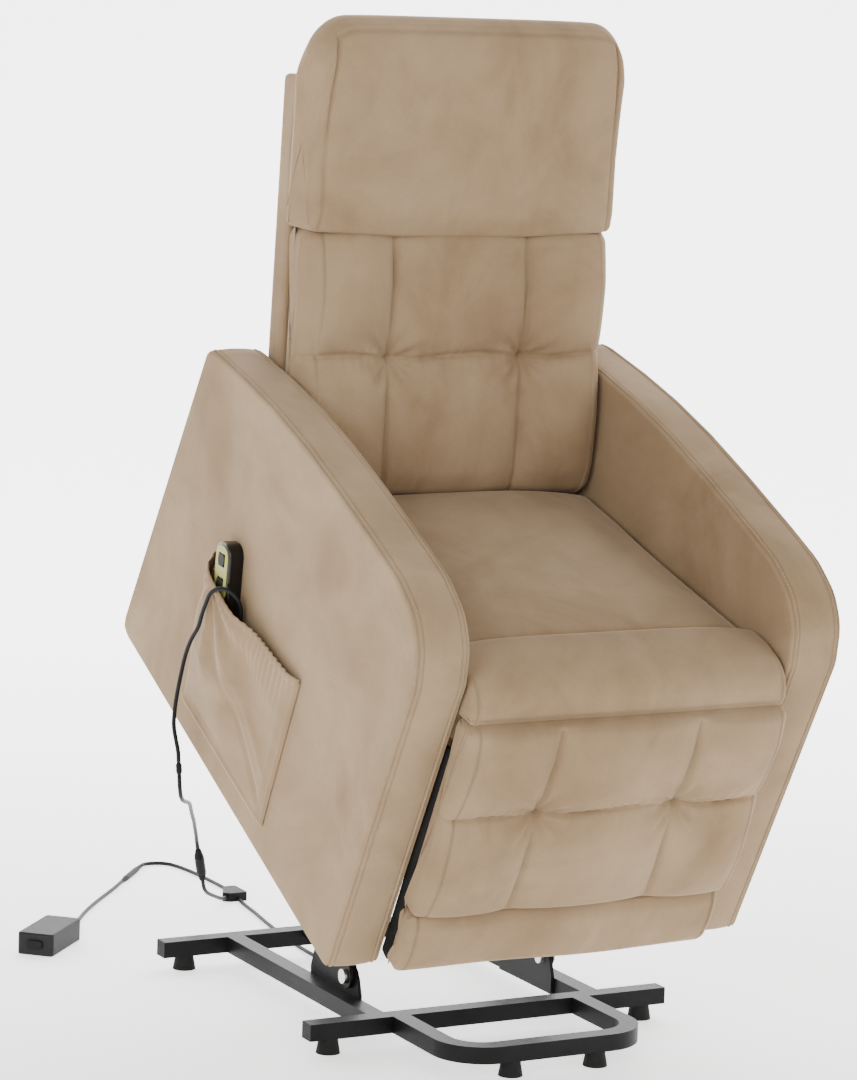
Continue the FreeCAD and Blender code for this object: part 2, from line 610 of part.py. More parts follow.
# ---------------------------------------------------------------- back
shell = done(slab("back_shell", [span("-35", "12", "-40", "696")], "2 * dims.back_half",
                  round_along=("9", [(12, 696), (12, -40)]),
                  pockets=[([span("-40", "5", "-30", "686")], "2 * dims.back_half - 14")]))
on_back(shell)
frame = done(slab("back_frame", [span("-34", "4", "-29", "685")], "2 * dims.back_half - 16",
                  pockets=[([span("-50", "20", "40", "300"), span("-50", "20", "345", "620")],
                            "2 * dims.back_half - 130")]))
on_back(frame)
BACK = [(-36, 76), (-36, 474), (-96, 474), (-112, 462), (-122, 400), (-110, 300), (-108, 292),
        (-122, 200), (-114, 110), (-104, 88), (-88, 76)]
cushion = done(slab("back_cushion", [text(BACK)], "2 * dims.back_half - 2", round_all="8"))
on_back(cushion)
HEAD = [(-36, 480), (-36, 786), (-60, 790), (-92, 786), (-112, 768), (-116, 730), (-100, 640),
        (-92, 590), (-94, 500), (-88, 480)]
head = done(slab("headrest", [text(HEAD)], "2 * dims.head_half", round_all="10"))
on_back(head)
pins = []
for side in (1, -1):
    tag = "l" if side > 0 else "r"
    x0, x1 = "dims.back_half", "dims.arm_inner_x + dims.arm_wall - 1"
    if side < 0:
        x0, x1 = "-(%s)" % x1, "-(%s)" % x0
    pins.append(cyl_x("back_pin_" + tag, "dims.hinge_radius", x0, x1))
pins = done(group("back_hinge_pins", pins))
on_back(pins)

# ---------------------------------------------------------------- footrest
inner_turn = math.degrees(math.atan2(D["knee_v"] - D["chain_v"], D["knee_u"] - D["chain_u"]))
outer_turn = math.degrees(math.atan2(D["rest_v"] - D["knee_v"], D["rest_u"] - D["knee_u"]))
CHAIN_HOLE = "dims.chain_pin + dims.pin_clearance"
inner_bars, outer_bars, plates, brackets, bolts = [], [], [], [], []
for side in (1, -1):
    tag = "l" if side > 0 else "r"
    for name, holes, rows, x in (
            ("inner_fold_", [CHAIN_HOLE, "dims.chain_pin"], inner_bars, "dims.inner_fold_x"),
            ("outer_fold_", [CHAIN_HOLE, CHAIN_HOLE], outer_bars, "dims.outer_fold_x")):
        bar = link(name + tag, "dims.fold_length", holes, "dims.fold_thick", "dims.fold_half")
        bar.setExpression("Placement.Base.x", "%d * %s" % (side, x))
        rows.append(bar)
        if name == "inner_fold_":
            x0, x1 = "dims.inner_fold_x - 5", "dims.outer_fold_x + 4.5"
            if side < 0:
                x0, x1 = "-(%s)" % x1, "-(%s)" % x0
            rows.append(cyl_x("knee_pin_" + tag, "dims.chain_pin", x0, x1, "dims.fold_length"))
    plate = slab("rest_plate_" + tag,
                 [text([(10, 190), (30, 214), (40, 222), (44, 232), (40, 242), (30, 248), (10, 270)]),
                  ("ring", "dims.rest_u", "dims.rest_v", "dims.chain_pin")], "dims.rest_plate_thick")
    plate.setExpression("Placement.Base.x", "%d * dims.rest_plate_x" % side)
    plates.append(plate)
    x0, x1 = "dims.outer_fold_x - 4.5", "dims.rest_plate_x + 1"
    if side < 0:
        x0, x1 = "-(%s)" % x1, "-(%s)" % x0
    plates.append(cyl_x("rest_pin_" + tag, "dims.chain_pin", x0, x1, "dims.rest_u", "dims.rest_v"))
    bracket = slab("chain_bracket_" + tag,
                   [text([(120, 318), (180, 318), (180, 344), (120, 344)]),
                    ("ring", "dims.chain_u", "dims.chain_v", "dims.chain_pin")], "23.5",
                   round_along=("6", None))
    bracket.setExpression("Placement.Base.x", "%d * (dims.inner_half - 11.75)" % side)
    x0, x1 = "dims.inner_fold_x - 5", "dims.inner_half"
    if side < 0:
        x0, x1 = "-(%s)" % x1, "-(%s)" % x0
    brackets.append(bracket)
    bolts.append(cyl_x("chain_bolt_" + tag, "dims.chain_pin", x0, x1, "dims.chain_u", "dims.chain_v"))
links = done(group("footrest_inner_links", inner_bars))
on_chair(links, "0", "dims.chain_u", "dims.chain_v", "%.6f" % inner_turn)
links = done(group("footrest_outer_links", outer_bars))
on_chair(links, "0", "dims.knee_u", "dims.knee_v", "%.6f" % outer_turn)
on_chair(done(group("footrest_brackets", brackets)))
on_chair(done(group("footrest_pivot_bolts", bolts)))
on_chair(done(group("leg_rest_brackets", plates)))
board = done(slab("leg_rest_board", [span("-5", "10", "30", "438")], "2 * dims.board_half"))
on_chair(board)
PAD = [(10, 121), (10, 444), (-16, 445), (-29, 440), (-42, 400), (-36, 305), (-36, 297),
       (-42, 200), (-32, 136), (-18, 121)]
pad = done(slab("leg_rest_pad", [text(PAD)], "2 * dims.rest_half", round_all="4",
                pockets=[([span("-5", "20", "100", "438")], "2 * dims.board_half")]))
on_chair(pad)
ROLL = [(10, 20), (10, 119), (-18, 119), (-26, 100), (-28, 66), (-24, 34), (-16, 20)]
roll = done(slab("leg_rest_roll", [text(ROLL)], "2 * dims.rest_half", round_all="4",
                 pockets=[([span("-5", "20", "30", "130")], "2 * dims.board_half")]))
on_chair(roll)

# ---------------------------------------------------------------- pocket and handset
POCKET = [(283, 52), (603, 52), (607, 60), (607, 300), (279, 300), (279, 60)]
pocket = named("PartDesign::Body", "side_pocket")
pad = pocket.newObject("PartDesign::Pad", "pad")
pad.Profile = outline(pocket, "YZ_Plane", [text(POCKET)])
pad.setExpression("Length", "dims.pocket_depth")
doc.recompute()
cut = pocket.newObject("PartDesign::Pocket", "room")
sk = outline(pocket, "YZ_Plane", [text([(283, 56), (603, 56), (603, 310), (283, 310)])], "room_outline")
sk.AttachmentOffset = Placement(Vector(0, 0, 2), Rotation())
sk.setExpression("AttachmentOffset.Base.z", "dims.pocket_wall")
cut.Profile = sk
cut.setExpression("Length", "dims.pocket_depth - 2 * dims.pocket_wall")
cut.Reversed = True
doc.recompute()
pocket.Tip = cut
on_chair(done(pocket), "-(dims.arm_inner_x + dims.arm_width + dims.pocket_depth)")
hem = slab("hem_outer", [span("279", "607", "300", "312")], "dims.pocket_depth",
           pockets=[([span("283", "603", "290", "320")],
                     "dims.pocket_depth - 2 * dims.pocket_wall")])
hem = done(group("pocket_hem", [hem]))
on_chair(hem, "-(dims.arm_inner_x + dims.arm_width + dims.pocket_depth / 2)")

handset = slab("handset_case",
               [rect("dims.handset_width", "dims.handset_length", "0", "dims.handset_length / 2")],
               "dims.handset_thick", round_along=("20", None), round_all="3")
cut = handset.newObject("PartDesign::Pocket", "button_wells")
wells = outline(handset, "YZ_Plane", [rect("22", "20", "0", "dims.handset_length - 26"),
                                      rect("22", "20", "0", "dims.handset_length - 62")], "wells")
wells.AttachmentOffset = Placement(Vector(0, 0, -1), Rotation())
wells.setExpression("AttachmentOffset.Base.z", "-dims.handset_thick / 2")
cut.Profile = wells
cut.Length = 2
cut.Reversed = True
doc.recompute()
handset.Tip = cut
hand_x = "-(dims.arm_inner_x + dims.arm_width + 2 + dims.handset_thick / 2)"
on_chair(done(handset), hand_x, "dims.handset_u", "dims.handset_v", "-dims.handset_lean")
keypad = slab("handset_keypad",
              [rect("dims.handset_width - 10", "82", "0", "dims.handset_length - 46")], "1.6",
              round_along=("16", None),
              pockets=[([rect("22", "20", "0", "dims.handset_length - 26"),
                         rect("22", "20", "0", "dims.handset_length - 62")], "4")])
face_x = hand_x + " - dims.handset_thick / 2 - 0.8"
on_chair(done(keypad), face_x, "dims.handset_u", "dims.handset_v", "-dims.handset_lean")
for name, height in (("button_up", "dims.handset_length - 26"), ("button_down",
                                                                  "dims.handset_length - 62")):
    button = slab(name, [rect("20.4", "18.4", "0", height)], "2.6", round_along=("7", None))
    on_chair(done(button), hand_x + " - dims.handset_thick / 2 - 1.3", "dims.handset_u",
             "dims.handset_v", "-dims.handset_lean")


# ---------------------------------------------------------------- cords
def spaced(points):
    return [Vector(x + D["shift_x"], y - D["shift_y"], z) for x, y, z in points]


def on_pocket(x, u, v):
    """Point of the working axes at (x, u, v) of the raised chair."""
    c, s = math.cos(math.radians(D["tilt"])), math.sin(math.radians(D["tilt"]))
    return x, D["chair_y"] + c * u - s * v, D["chair_z"] + s * u + c * v


def cord(name, points, diameter):
    """Round tube along straight runs joined by tangent arcs."""
    pts = spaced(points)
    runs = [(pts[i + 1] - pts[i]).Length for i in range(len(pts) - 1)]
    edges, start, radii = [], pts[0], []
    for i in range(1, len(pts) - 1):
        a = (pts[i] - pts[i - 1]).normalize()
        b = (pts[i + 1] - pts[i]).normalize()
        turn = a.getAngle(b)
        if turn < math.radians(0.5):
            continue
        trim = 0.45 * min(runs[i - 1], runs[i])
        bend = trim / math.tan(turn / 2)
        radii.append(bend / diameter)
        p0, p2 = pts[i] - a * trim, pts[i] + b * trim
        centre_way = (b - a).normalize()
        centre = pts[i] + centre_way * math.hypot(trim, bend)
        p1 = centre - centre_way * bend
        if (p0 - start).Length > 1e-6:
            edges.append(Part.LineSegment(start, p0).toShape())
        edges.append(Part.Arc(p0, p1, p2).toShape())
        start = p2
    edges.append(Part.LineSegment(start, pts[-1]).toShape())
    wire = Part.Wire(edges)
    first = (pts[1] - pts[0]).normalize()
    circle = Part.Wire([Part.Circle(pts[0], first, diameter / 2).toShape()])
    tube = wire.makePipeShell([circle], True, False)
    obj = named("Part::Feature", name)
    obj.Shape = tube
    ideal = math.pi * diameter ** 2 / 4 * wire.Length
    print("%s length %.1f smallest bend %.1f diameters volume ratio %.4f" % (
        name, wire.Length, min(radii), tube.Volume / ideal))
    return done(obj)


thick = D["cord_diameter"]
low = thick / 2 + 0.4
cord("handset_cord_upper", [
    on_pocket(-354, 500, 206), on_pocket(-354, 494.5, 189.9), on_pocket(-354, 483.6, 180.5),
    on_pocket(-354, 469.4, 177.9), on_pocket(-354, 455.9, 182.7), on_pocket(-354, 446.6, 193.7),
    on_pocket(-354, 444.1, 207.9), on_pocket(-354, 453.7, 233.3), on_pocket(-354, 463.3, 258.6),
    on_pocket(-354, 471.5, 280), on_pocket(-354, 477, 297.5), on_pocket(-358.4, 483.1, 310.4),
    on_pocket(-366.1, 493.5, 317.9), on_pocket(-374.9, 505.5, 317.9),
    on_pocket(-382.6, 515.9, 310.4), on_pocket(-387, 522, 297.5), on_pocket(-386, 527, 278),
    on_pocket(-385, 533, 252), (-382, 356, 595), (-383, 380, 572), (-383, 398, 547),
    (-382, 413, 518), (-381, 427, 488), (-380, 438, 458), (-379, 443, 430), (-375, 441, 408),
    (-371.75, 439.6, 391.4), (-370, 441, 376)], thick)
cord("handset_cord_lower", [
    (-367.5, 443, 354), (-365.5, 444.6, 336.4), (-359, 455, 320), (-346, 477, 308), (-328, 508, 298),
    (-306, 545, 288), (-284, 586, 276), (-262, 630, 260), (-239, 677, 242), (-215, 724, 222),
    (-191, 770, 202), (-169, 814, 181), (-150, 850, 161), (-135.07, 878.93, 141.77),
    (-130, 884, 126)], thick)
cord("handset_cord_tail", [
    (-112, 902, 70), (-106.73, 907.27, 53.6), (-94, 922, 42), (-78, 939, 33), (-62, 957, 25),
    (-47, 975, 17), (-32, 993, 10.5), (-17, 1010, 7.5)], thick)
cord("trunk_cord", [
    (4, 1005.4, low), (0, 985, low), (-4, 963, low), (-10, 914, low), (-18, 866, low), (-26, 813, low),
    (-33, 760, low), (-38, 710, low), (-41, 670, low), (-42, 640, low), (-42, 620, low),
    (-42, 607, 16.6), (-42, 607, 36)], thick)
cord("supply_cord_a", [
    (12, 1056, low), (14, 1076, low), (15, 1116, low), (14, 1163, low), (12, 1203, low),
    (8.5, 1236, low), (4.3, 1260.7, low), (-1.6, 1279.8, low), (-10.6, 1289.8, low),
    (-23, 1295.1, low), (-36.5, 1294.7, 3.9), (-48.6, 1288.7, 4.6), (-58, 1277, 5)], thick)
cord("supply_cord_b", [
    (-136, 1180, 5), (-146, 1167.5, 5), (-162, 1148, 4.2), (-187, 1119, low), (-220, 1080, low),
    (-252, 1040, low), (-281, 1001, low), (-305, 964, low), (-321, 936, 5.2), (-334, 913, 10),
    (-343.5, 897, 15), (-352.7, 885.05, 18), (-363.8, 873.5, 18)], thick)


def stub(name, start, end, radius, narrow=0.0, flare=0.0):
    """Round connector body between two cord ends, with tapered strain reliefs."""
    a, b = spaced([start, end])
    way = (b - a).normalize()
    length = (b - a).Length
    taper = narrow * length
    solids = [Part.makeCylinder(radius, length - 2 * taper, a + way * taper, way)]
    if narrow:
        solids.append(Part.makeCone(radius * 0.55, radius, taper, a, way))
        solids.append(Part.makeCone(radius, radius * 0.55, taper, b - way * taper, way))
    solid = solids[0].multiFuse(solids[1:]).removeSplitter() if narrow else solids[0]
    obj = named("Part::Feature", name)
    obj.Shape = solid
    return done(obj)


stub("handset_plug", (-130, 884, 126), (-112, 902, 70), 8, 0.2)
stub("cord_sleeve", (-370, 441, 376), (-367.5, 443, 354), 4.6)
stub("supply_connector", (-58, 1277, 5), (-136, 1180, 5), 5, 0.22)

splitter = named("PartDesign::Body", "cord_splitter")
pad = splitter.newObject("PartDesign::Pad", "pad")
pad.Profile = outline(splitter, "XY_Plane", [text([(-19.7, -25.6), (12, -25.6), (12, 25), (-10, 25),
                                                   (-30.3, -16.4)])])
pad.Length = 15
doc.recompute()
fillet(splitter, pad, ["Edge%d" % i for i, e in enumerate(pad.Shape.Edges, 1)
                       if e.BoundBox.ZLength > 1], "3")
on_floor(done(splitter), "8", "1031", "0")

# ---------------------------------------------------------------- power supply
brick = slab("power_supply_case",
             [rect("dims.brick_width", "dims.brick_length")], "dims.brick_height", role="XY_Plane",
             round_along=("6", None), round_all="3")
turn = math.degrees(math.atan2(0.72, 0.69)) - 90
on_floor(done(brick), "-410.3", "832.2", "dims.brick_height / 2", spin=Rotation(Vector(0, 0, 1), turn))
inlet = slab("power_inlet", [rect("26", "14")], "4", role="XZ_Plane", round_along=("4", None))
on_floor(done(inlet), "-454.6", "786.0", "dims.brick_height / 2", spin=Rotation(Vector(0, 0, 1), turn))

doc.recompute()

# ---------------------------------------------------------------- check and export
for obj in doc.Objects:
    if "Invalid" in obj.State or "Error" in obj.State:
        raise RuntimeError("%s is not up to date: %s" % (obj.Label, obj.State))
for obj in PARTS:
    if obj.Shape.isNull() or not obj.Shape.isValid():
        raise RuntimeError("%s has no valid shape" % obj.Label)
    obj.Shape.exportStep("parts/%s.step" % obj.Label)
    box_now = obj.Shape.BoundBox
    print("%-24s %8.0f mm3  x %.1f..%.1f y %.1f..%.1f z %.1f..%.1f" % (
        obj.Label, obj.Shape.Volume, box_now.XMin, box_now.XMax, box_now.YMin, box_now.YMax,
        box_now.ZMin, box_now.ZMax))
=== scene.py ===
import bpy
import json
import math
import numpy as np
from mathutils import Matrix, Vector


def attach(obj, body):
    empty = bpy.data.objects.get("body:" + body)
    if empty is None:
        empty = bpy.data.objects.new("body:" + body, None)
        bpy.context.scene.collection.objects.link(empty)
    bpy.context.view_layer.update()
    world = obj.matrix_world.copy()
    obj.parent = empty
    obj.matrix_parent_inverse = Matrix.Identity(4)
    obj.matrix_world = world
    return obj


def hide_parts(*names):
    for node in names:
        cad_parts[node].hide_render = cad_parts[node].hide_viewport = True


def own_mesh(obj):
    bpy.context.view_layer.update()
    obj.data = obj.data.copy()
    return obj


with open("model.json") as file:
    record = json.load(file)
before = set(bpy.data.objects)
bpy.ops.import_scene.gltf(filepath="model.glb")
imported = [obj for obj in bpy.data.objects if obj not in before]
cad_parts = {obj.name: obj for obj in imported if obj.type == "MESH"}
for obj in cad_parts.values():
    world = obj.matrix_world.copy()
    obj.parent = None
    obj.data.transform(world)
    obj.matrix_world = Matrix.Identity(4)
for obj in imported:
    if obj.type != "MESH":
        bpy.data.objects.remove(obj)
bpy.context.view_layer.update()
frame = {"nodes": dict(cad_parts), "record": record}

# ------------------------------------------------------------------ frames of reference
# Lengths are in metres unless a comment says mm. x runs to the sitter's left. In the chair's own
# frame u runs to the rear along the seat and v away from it; in the back's, b runs to the rear and
# h up the back from its hinge.
SHIFT = (0.0155, -0.24045)           # from the working axes to the row frame
TILT = math.radians(26.1)            # how far the raised chair tips forward
LEAN = math.radians(22.0)            # the back's lean from the chair's v
CHAIR = (-0.027, 0.154)              # y and z of the chair frame's origin
HINGE = (0.650, 0.300)               # u and v of the back's hinge
ARM_INNER, ARM_OUTER = 0.257, 0.340  # x of each arm's faces


def room(x, y, z):
    """Working axes to the row frame, for arrays or numbers."""
    x, y, z = np.broadcast_arrays(*(np.asarray(value, float) for value in (x, y, z)))
    return np.stack([x + SHIFT[0], y + SHIFT[1], z], -1)


def chair(x, u, v):
    """Point of the chair's frame in the row frame."""
    c, s = math.cos(TILT), math.sin(TILT)
    u, v = np.asarray(u, float), np.asarray(v, float)
    return room(x, CHAIR[0] + c * u - s * v, CHAIR[1] + s * u + c * v)


def back(x, b, h):
    """Point of the back's frame in the row frame."""
    c, s = math.cos(LEAN), math.sin(LEAN)
    b, h = np.asarray(b, float), np.asarray(h, float)
    return chair(x, HINGE[0] + c * b + s * h, HINGE[1] - s * b + c * h)


# ------------------------------------------------------------------ camera, light, floor
CAMERA_PLACE = (-2.678, -4.640, 1.526)
CAMERA_YAW, CAMERA_PITCH, CAMERA_ROLL = math.radians(28.15), math.radians(8.2), math.radians(2.0)
CAMERA_LENS, CAMERA_SENSOR = 126.45, 36  # mm
# name, place, target, size, watts
LAMPS = [
    ("key", (-3.8, -2.9, 2.3), (0, 0, 0.75), (2.2, 2.2), 118),
    ("fill", (2.6, -3.6, 1.6), (0, 0, 0.6), (2.4, 2.0), 45),
    ("top", (0.4, 1.0, 4.2), (0, 0, 0.6), (3.0, 3.0), 25),
]
WALL_LIGHT = (1.0, 0.985, 0.96, 1)
CEILING_LIGHT = (0.42, 0.42, 0.42, 1)
SKY_STRENGTH = 1.55


def make_camera():
    ahead = Vector((math.sin(CAMERA_YAW), math.cos(CAMERA_YAW), 0))
    look = ahead * math.cos(CAMERA_PITCH) - Vector((0, 0, math.sin(CAMERA_PITCH)))
    level_right = Vector((math.cos(CAMERA_YAW), -math.sin(CAMERA_YAW), 0))
    level_up = level_right.cross(look)
    right = level_right * math.cos(CAMERA_ROLL) + level_up * math.sin(CAMERA_ROLL)
    up = -level_right * math.sin(CAMERA_ROLL) + level_up * math.cos(CAMERA_ROLL)
    data = bpy.data.cameras.new("camera")
    data.lens = CAMERA_LENS
    data.sensor_width = CAMERA_SENSOR
    cam = bpy.data.objects.new("camera", data)
    bpy.context.scene.collection.objects.link(cam)
    m = Matrix((right, up, -look)).transposed().to_4x4()
    m.translation = Vector(room(*CAMERA_PLACE))
    cam.matrix_world = m
    bpy.context.scene.camera = cam


def area_lamp(name, place, target, size, power):
    data = bpy.data.lights.new(name, "AREA")
    data.shape = "RECTANGLE"
    data.size, data.size_y = size
    data.energy = power
    lamp = bpy.data.objects.new(name, data)
    bpy.context.scene.collection.objects.link(lamp)
    lamp.location = place
    lamp.rotation_euler = (Vector(target) - Vector(place)).to_track_quat("-Z", "Y").to_euler()


def studio_sky():
    """Bright walls all round under a dimmer ceiling."""
    world = bpy.data.worlds.new("studio")
    bpy.context.scene.world = world
    world.use_nodes = True
    nodes, link = world.node_tree.nodes, world.node_tree.links.new
    coord = nodes.new("ShaderNodeTexCoord")
    split = nodes.new("ShaderNodeSeparateXYZ")
    tone = nodes.new("ShaderNodeValToRGB")
    link(coord.outputs["Generated"], split.inputs["Vector"])
    link(split.outputs["Z"], tone.inputs["Fac"])
    low, high = tone.color_ramp.elements
    low.position, low.color = 0.1, WALL_LIGHT
    high.position, high.color = 0.85, CEILING_LIGHT
    link(tone.outputs["Color"], nodes["Background"].inputs["Color"])
    nodes["Background"].inputs["Strength"].default_value = SKY_STRENGTH


make_camera()
for lamp in LAMPS:
    area_lamp(*lamp)
studio_sky()

# ------------------------------------------------------------------ materials
def material(name, rough, metal=0.0, **inputs):
    """Principled material and its shader; inputs are sockets by name, with _ for a space."""
    mat = bpy.data.materials.new(name)
    mat.use_nodes = True
    shader = mat.node_tree.nodes["Principled BSDF"]
    shader.inputs["Roughness"].default_value = rough
    shader.inputs["Metallic"].default_value = metal
    for key, value in inputs.items():
        shader.inputs[key.replace("_", " ")].default_value = value
    return mat, shader


def add(mat, kind, **values):
    """New node with values on its sockets."""
    node = mat.node_tree.nodes.new(kind)
    for key, value in values.items():
        node.inputs[key].default_value = value
    return node


def noise(mat, scale, detail, rough=0.5, stretch=None, distort=0.0):
    """Noise in the object's own space, stretched along its axes where asked."""
    tex = add(mat, "ShaderNodeTexNoise", Scale=scale, Detail=detail, Roughness=rough,
              Distortion=distort)
    link = mat.node_tree.links.new
    source = add(mat, "ShaderNodeTexCoord").outputs["Object"]
    if stretch:
        mapping = add(mat, "ShaderNodeMapping", Scale=stretch)
        link(source, mapping.inputs["Vector"])
        source = mapping.outputs["Vector"]
    link(source, tex.inputs["Vector"])
    return tex


def ramp(mat, source, stops):
    """Colours by position along a source."""
    node = mat.node_tree.nodes.new("ShaderNodeValToRGB")
    mat.node_tree.links.new(source, node.inputs["Fac"])
    while len(node.color_ramp.elements) < len(stops):
        node.color_ramp.elements.new(0.5)
    for element, (position, colour) in zip(node.color_ramp.elements, stops):
        element.position = position
        element.color = (*colour, 1)
    return node


def multiply(mat, share, first, second):
    """First colour times the second, by the given share."""
    node = mat.node_tree.nodes.new("ShaderNodeMix")
    node.data_type = "RGBA"
    node.blend_type = "MULTIPLY"
    node.inputs[0].default_value = share
    mat.node_tree.links.new(first, node.inputs[6])
    mat.node_tree.links.new(second, node.inputs[7])
    return node.outputs[2]


def bump(mat, shader, source, strength, distance, before=None):
    """Bump on the shader's normal, laid over the one before where given."""
    node = add(mat, "ShaderNodeBump", Strength=strength, Distance=distance)
    link = mat.node_tree.links.new
    link(source, node.inputs["Height"])
    if before:
        link(before.outputs["Normal"], node.inputs["Normal"])
    link(node.outputs["Normal"], shader.inputs["Normal"])
    return node


def velvet(name, deep, mid, pale):
    """Short pile with faint broad patches and finer brushed marks."""
    mat, shader = material(name, 0.85, Sheen_Weight=0.22, Sheen_Roughness=0.35,
                           Sheen_Tint=(1.0, 0.86, 0.70, 1), Specular_IOR_Level=0.15)
    cloud = noise(mat, 4.6, 4, 0.6, distort=0.6)
    stroke = noise(mat, 13, 4, 0.6, stretch=(1.0, 0.5, 0.6), distort=1.0)
    pile = noise(mat, 520, 2, 0.6)
    tone = ramp(mat, cloud.outputs["Fac"], [(0.32, deep), (0.5, mid), (0.68, pale)])
    swept = ramp(mat, stroke.outputs["Fac"],
                 [(0.35, (0.90, 0.89, 0.88)), (0.52, (1, 1, 1)), (0.70, (1.08, 1.075, 1.07))])
    grain = ramp(mat, pile.outputs["Fac"], [(0.3, (0.92,) * 3), (0.7, (1.05,) * 3)])
    colour = multiply(mat, 0.7, tone.outputs["Color"], swept.outputs["Color"])
    colour = multiply(mat, 0.8, colour, grain.outputs["Color"])
    mat.node_tree.links.new(colour, shader.inputs["Base Color"])
    soft = bump(mat, shader, stroke.outputs["Fac"], 0.12, 0.003)
    bump(mat, shader, pile.outputs["Fac"], 0.16, 0.0005, soft)
    return mat


def painted(name, colour, rough, grain_scale, strength, metal=0.0, spread=0.25, **inputs):
    """Paint or plastic with fine grain, slight colour change and uneven gloss."""
    mat, shader = material(name, rough, metal, **inputs)
    cloud = noise(mat, 9, 4, 0.6)
    grain = noise(mat, grain_scale, 3, 0.6)
    low = tuple(c * (1 - spread) for c in colour)
    high = tuple(min(1, c * (1 + spread) + 0.003) for c in colour)
    tone = ramp(mat, cloud.outputs["Fac"], [(0.3, low), (0.7, high)])
    mat.node_tree.links.new(tone.outputs["Color"], shader.inputs["Base Color"])
    gloss = ramp(mat, grain.outputs["Fac"],
                 [(0.3, (rough * 0.8,) * 3), (0.7, (min(1, rough * 1.2),) * 3)])
    mat.node_tree.links.new(gloss.outputs["Color"], shader.inputs["Roughness"])
    bump(mat, shader, grain.outputs["Fac"], strength, 0.0004)
    return mat


VELVET = velvet("velvet", (0.226, 0.150, 0.083), (0.268, 0.186, 0.108),
                (0.312, 0.222, 0.135))
THREAD = painted("thread", (0.27, 0.19, 0.11), 0.7, 900, 0.2)
STEEL = painted("powder_coat", (0.004, 0.004, 0.0045), 0.42, 700, 0.10,
                Specular_IOR_Level=0.12)
ZINC = painted("zinc_plate", (0.66, 0.66, 0.63), 0.3, 500, 0.08, metal=1.0, spread=0.1)
BLACK = painted("moulded_black", (0.005, 0.005, 0.005), 0.5, 1200, 0.2,
                Specular_IOR_Level=0.12)
GREY = painted("moulded_grey", (0.011, 0.011, 0.0125), 0.5, 1300, 0.3,
               Specular_IOR_Level=0.14)
RUBBER = painted("foot_rubber", (0.005, 0.005, 0.005), 0.75, 800, 0.25,
                 Specular_IOR_Level=0.2)
VINYL = painted("cord_vinyl", (0.007, 0.007, 0.008), 0.45, 900, 0.12,
                Specular_IOR_Level=0.14)
GLOSS = painted("handset_gloss", (0.004, 0.004, 0.0045), 0.2, 300, 0.02, Coat_Weight=0.15,
                Specular_IOR_Level=0.3)
LINING = painted("lining_cloth", (0.012, 0.011, 0.010), 0.9, 1500, 0.4,
                 Specular_IOR_Level=0.1)
KEYPAD = painted("keypad_lime", (0.34, 0.33, 0.085), 0.45, 900, 0.08, spread=0.08,
                 Specular_IOR_Level=0.25)
BUTTON = painted("button_rubber", (0.014, 0.016, 0.010), 0.6, 900, 0.1,
                 Specular_IOR_Level=0.15)


def timber(name):
    """Plywood with a long wandering grain."""
    mat, shader = material(name, 0.62)
    grain = noise(mat, 9, 6, 0.65, stretch=(6.0, 1.0, 0.8), distort=2.2)
    fine = noise(mat, 160, 3, 0.6, stretch=(4.0, 1.0, 1.0))
    tone = ramp(mat, grain.outputs["Fac"],
                [(0.3, (0.36, 0.23, 0.12)), (0.5, (0.52, 0.37, 0.21)), (0.7, (0.62, 0.47, 0.29))])
    mat.node_tree.links.new(tone.outputs["Color"], shader.inputs["Base Color"])
    bump(mat, shader, fine.outputs["Fac"], 0.2, 0.0006)
    return mat


WOOD = timber("plywood")
SLOTS = {
    "frame_steel": STEEL, "zinc_steel": ZINC, "foot_rubber": RUBBER, "timber": WOOD,
    "black_plastic": BLACK, "grey_plastic": GREY, "actuator_plastic": BLACK, "velvet": VELVET,
    "handset_gloss": GLOSS, "keypad_plastic": KEYPAD, "button_rubber": BUTTON,
    "cord_vinyl": VINYL,
}
for part in frame["record"]["subparts"]:
    node = frame["nodes"][part["node"]]
    node.data.materials.clear()
    node.data.materials.append(SLOTS[part["material_slot"]])


# ------------------------------------------------------------------ mesh tools
def mesh_object(name, verts, faces, mat, body):
    """Smooth mesh in the scene, riding its body at once where one is given."""
    data = bpy.data.meshes.new(name)
    data.from_pydata([tuple(v) for v in verts], [], faces)
    data.validate()
    data.update()
    data.polygons.foreach_set("use_smooth", [True] * len(data.polygons))
    obj = bpy.data.objects.new(name, data)
    bpy.context.scene.collection.objects.link(obj)
    obj.data.materials.append(mat)
    if body:
        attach(obj, body)
    return obj


def rounded(points, radii, step):
    """Dense closed outline of a polygon with rounded corners; points and radii in mm, line in m."""
    pts = [np.array(p, float) / 1000 for p in points]
    out = []
    n = len(pts)
    for i in range(n):
        a, p, b = pts[i - 1], pts[i], pts[(i + 1) % n]
        da, db = np.linalg.norm(a - p), np.linalg.norm(b - p)
        wa, wb = (a - p) / da, (b - p) / db
        turn = math.pi - math.acos(np.clip(wa @ wb, -1, 1))
        trim = min(radii[i] / 1000 * math.tan(turn / 2), 0.46 * da, 0.46 * db)
        s, e = p + wa * trim, p + wb * trim
        k = max(2, int(turn / math.radians(9)) + 1)
        for t in np.linspace(0, 1, k + 1):
            out.append((1 - t) ** 2 * s + 2 * t * (1 - t) * p + t ** 2 * e)
    dense = []
    for i in range(len(out)):
        a, b = out[i], out[(i + 1) % len(out)]
        m = max(1, int(np.linalg.norm(b - a) / step))
        dense += [a + (b - a) * t / m for t in range(m)]
    return np.array(dense)


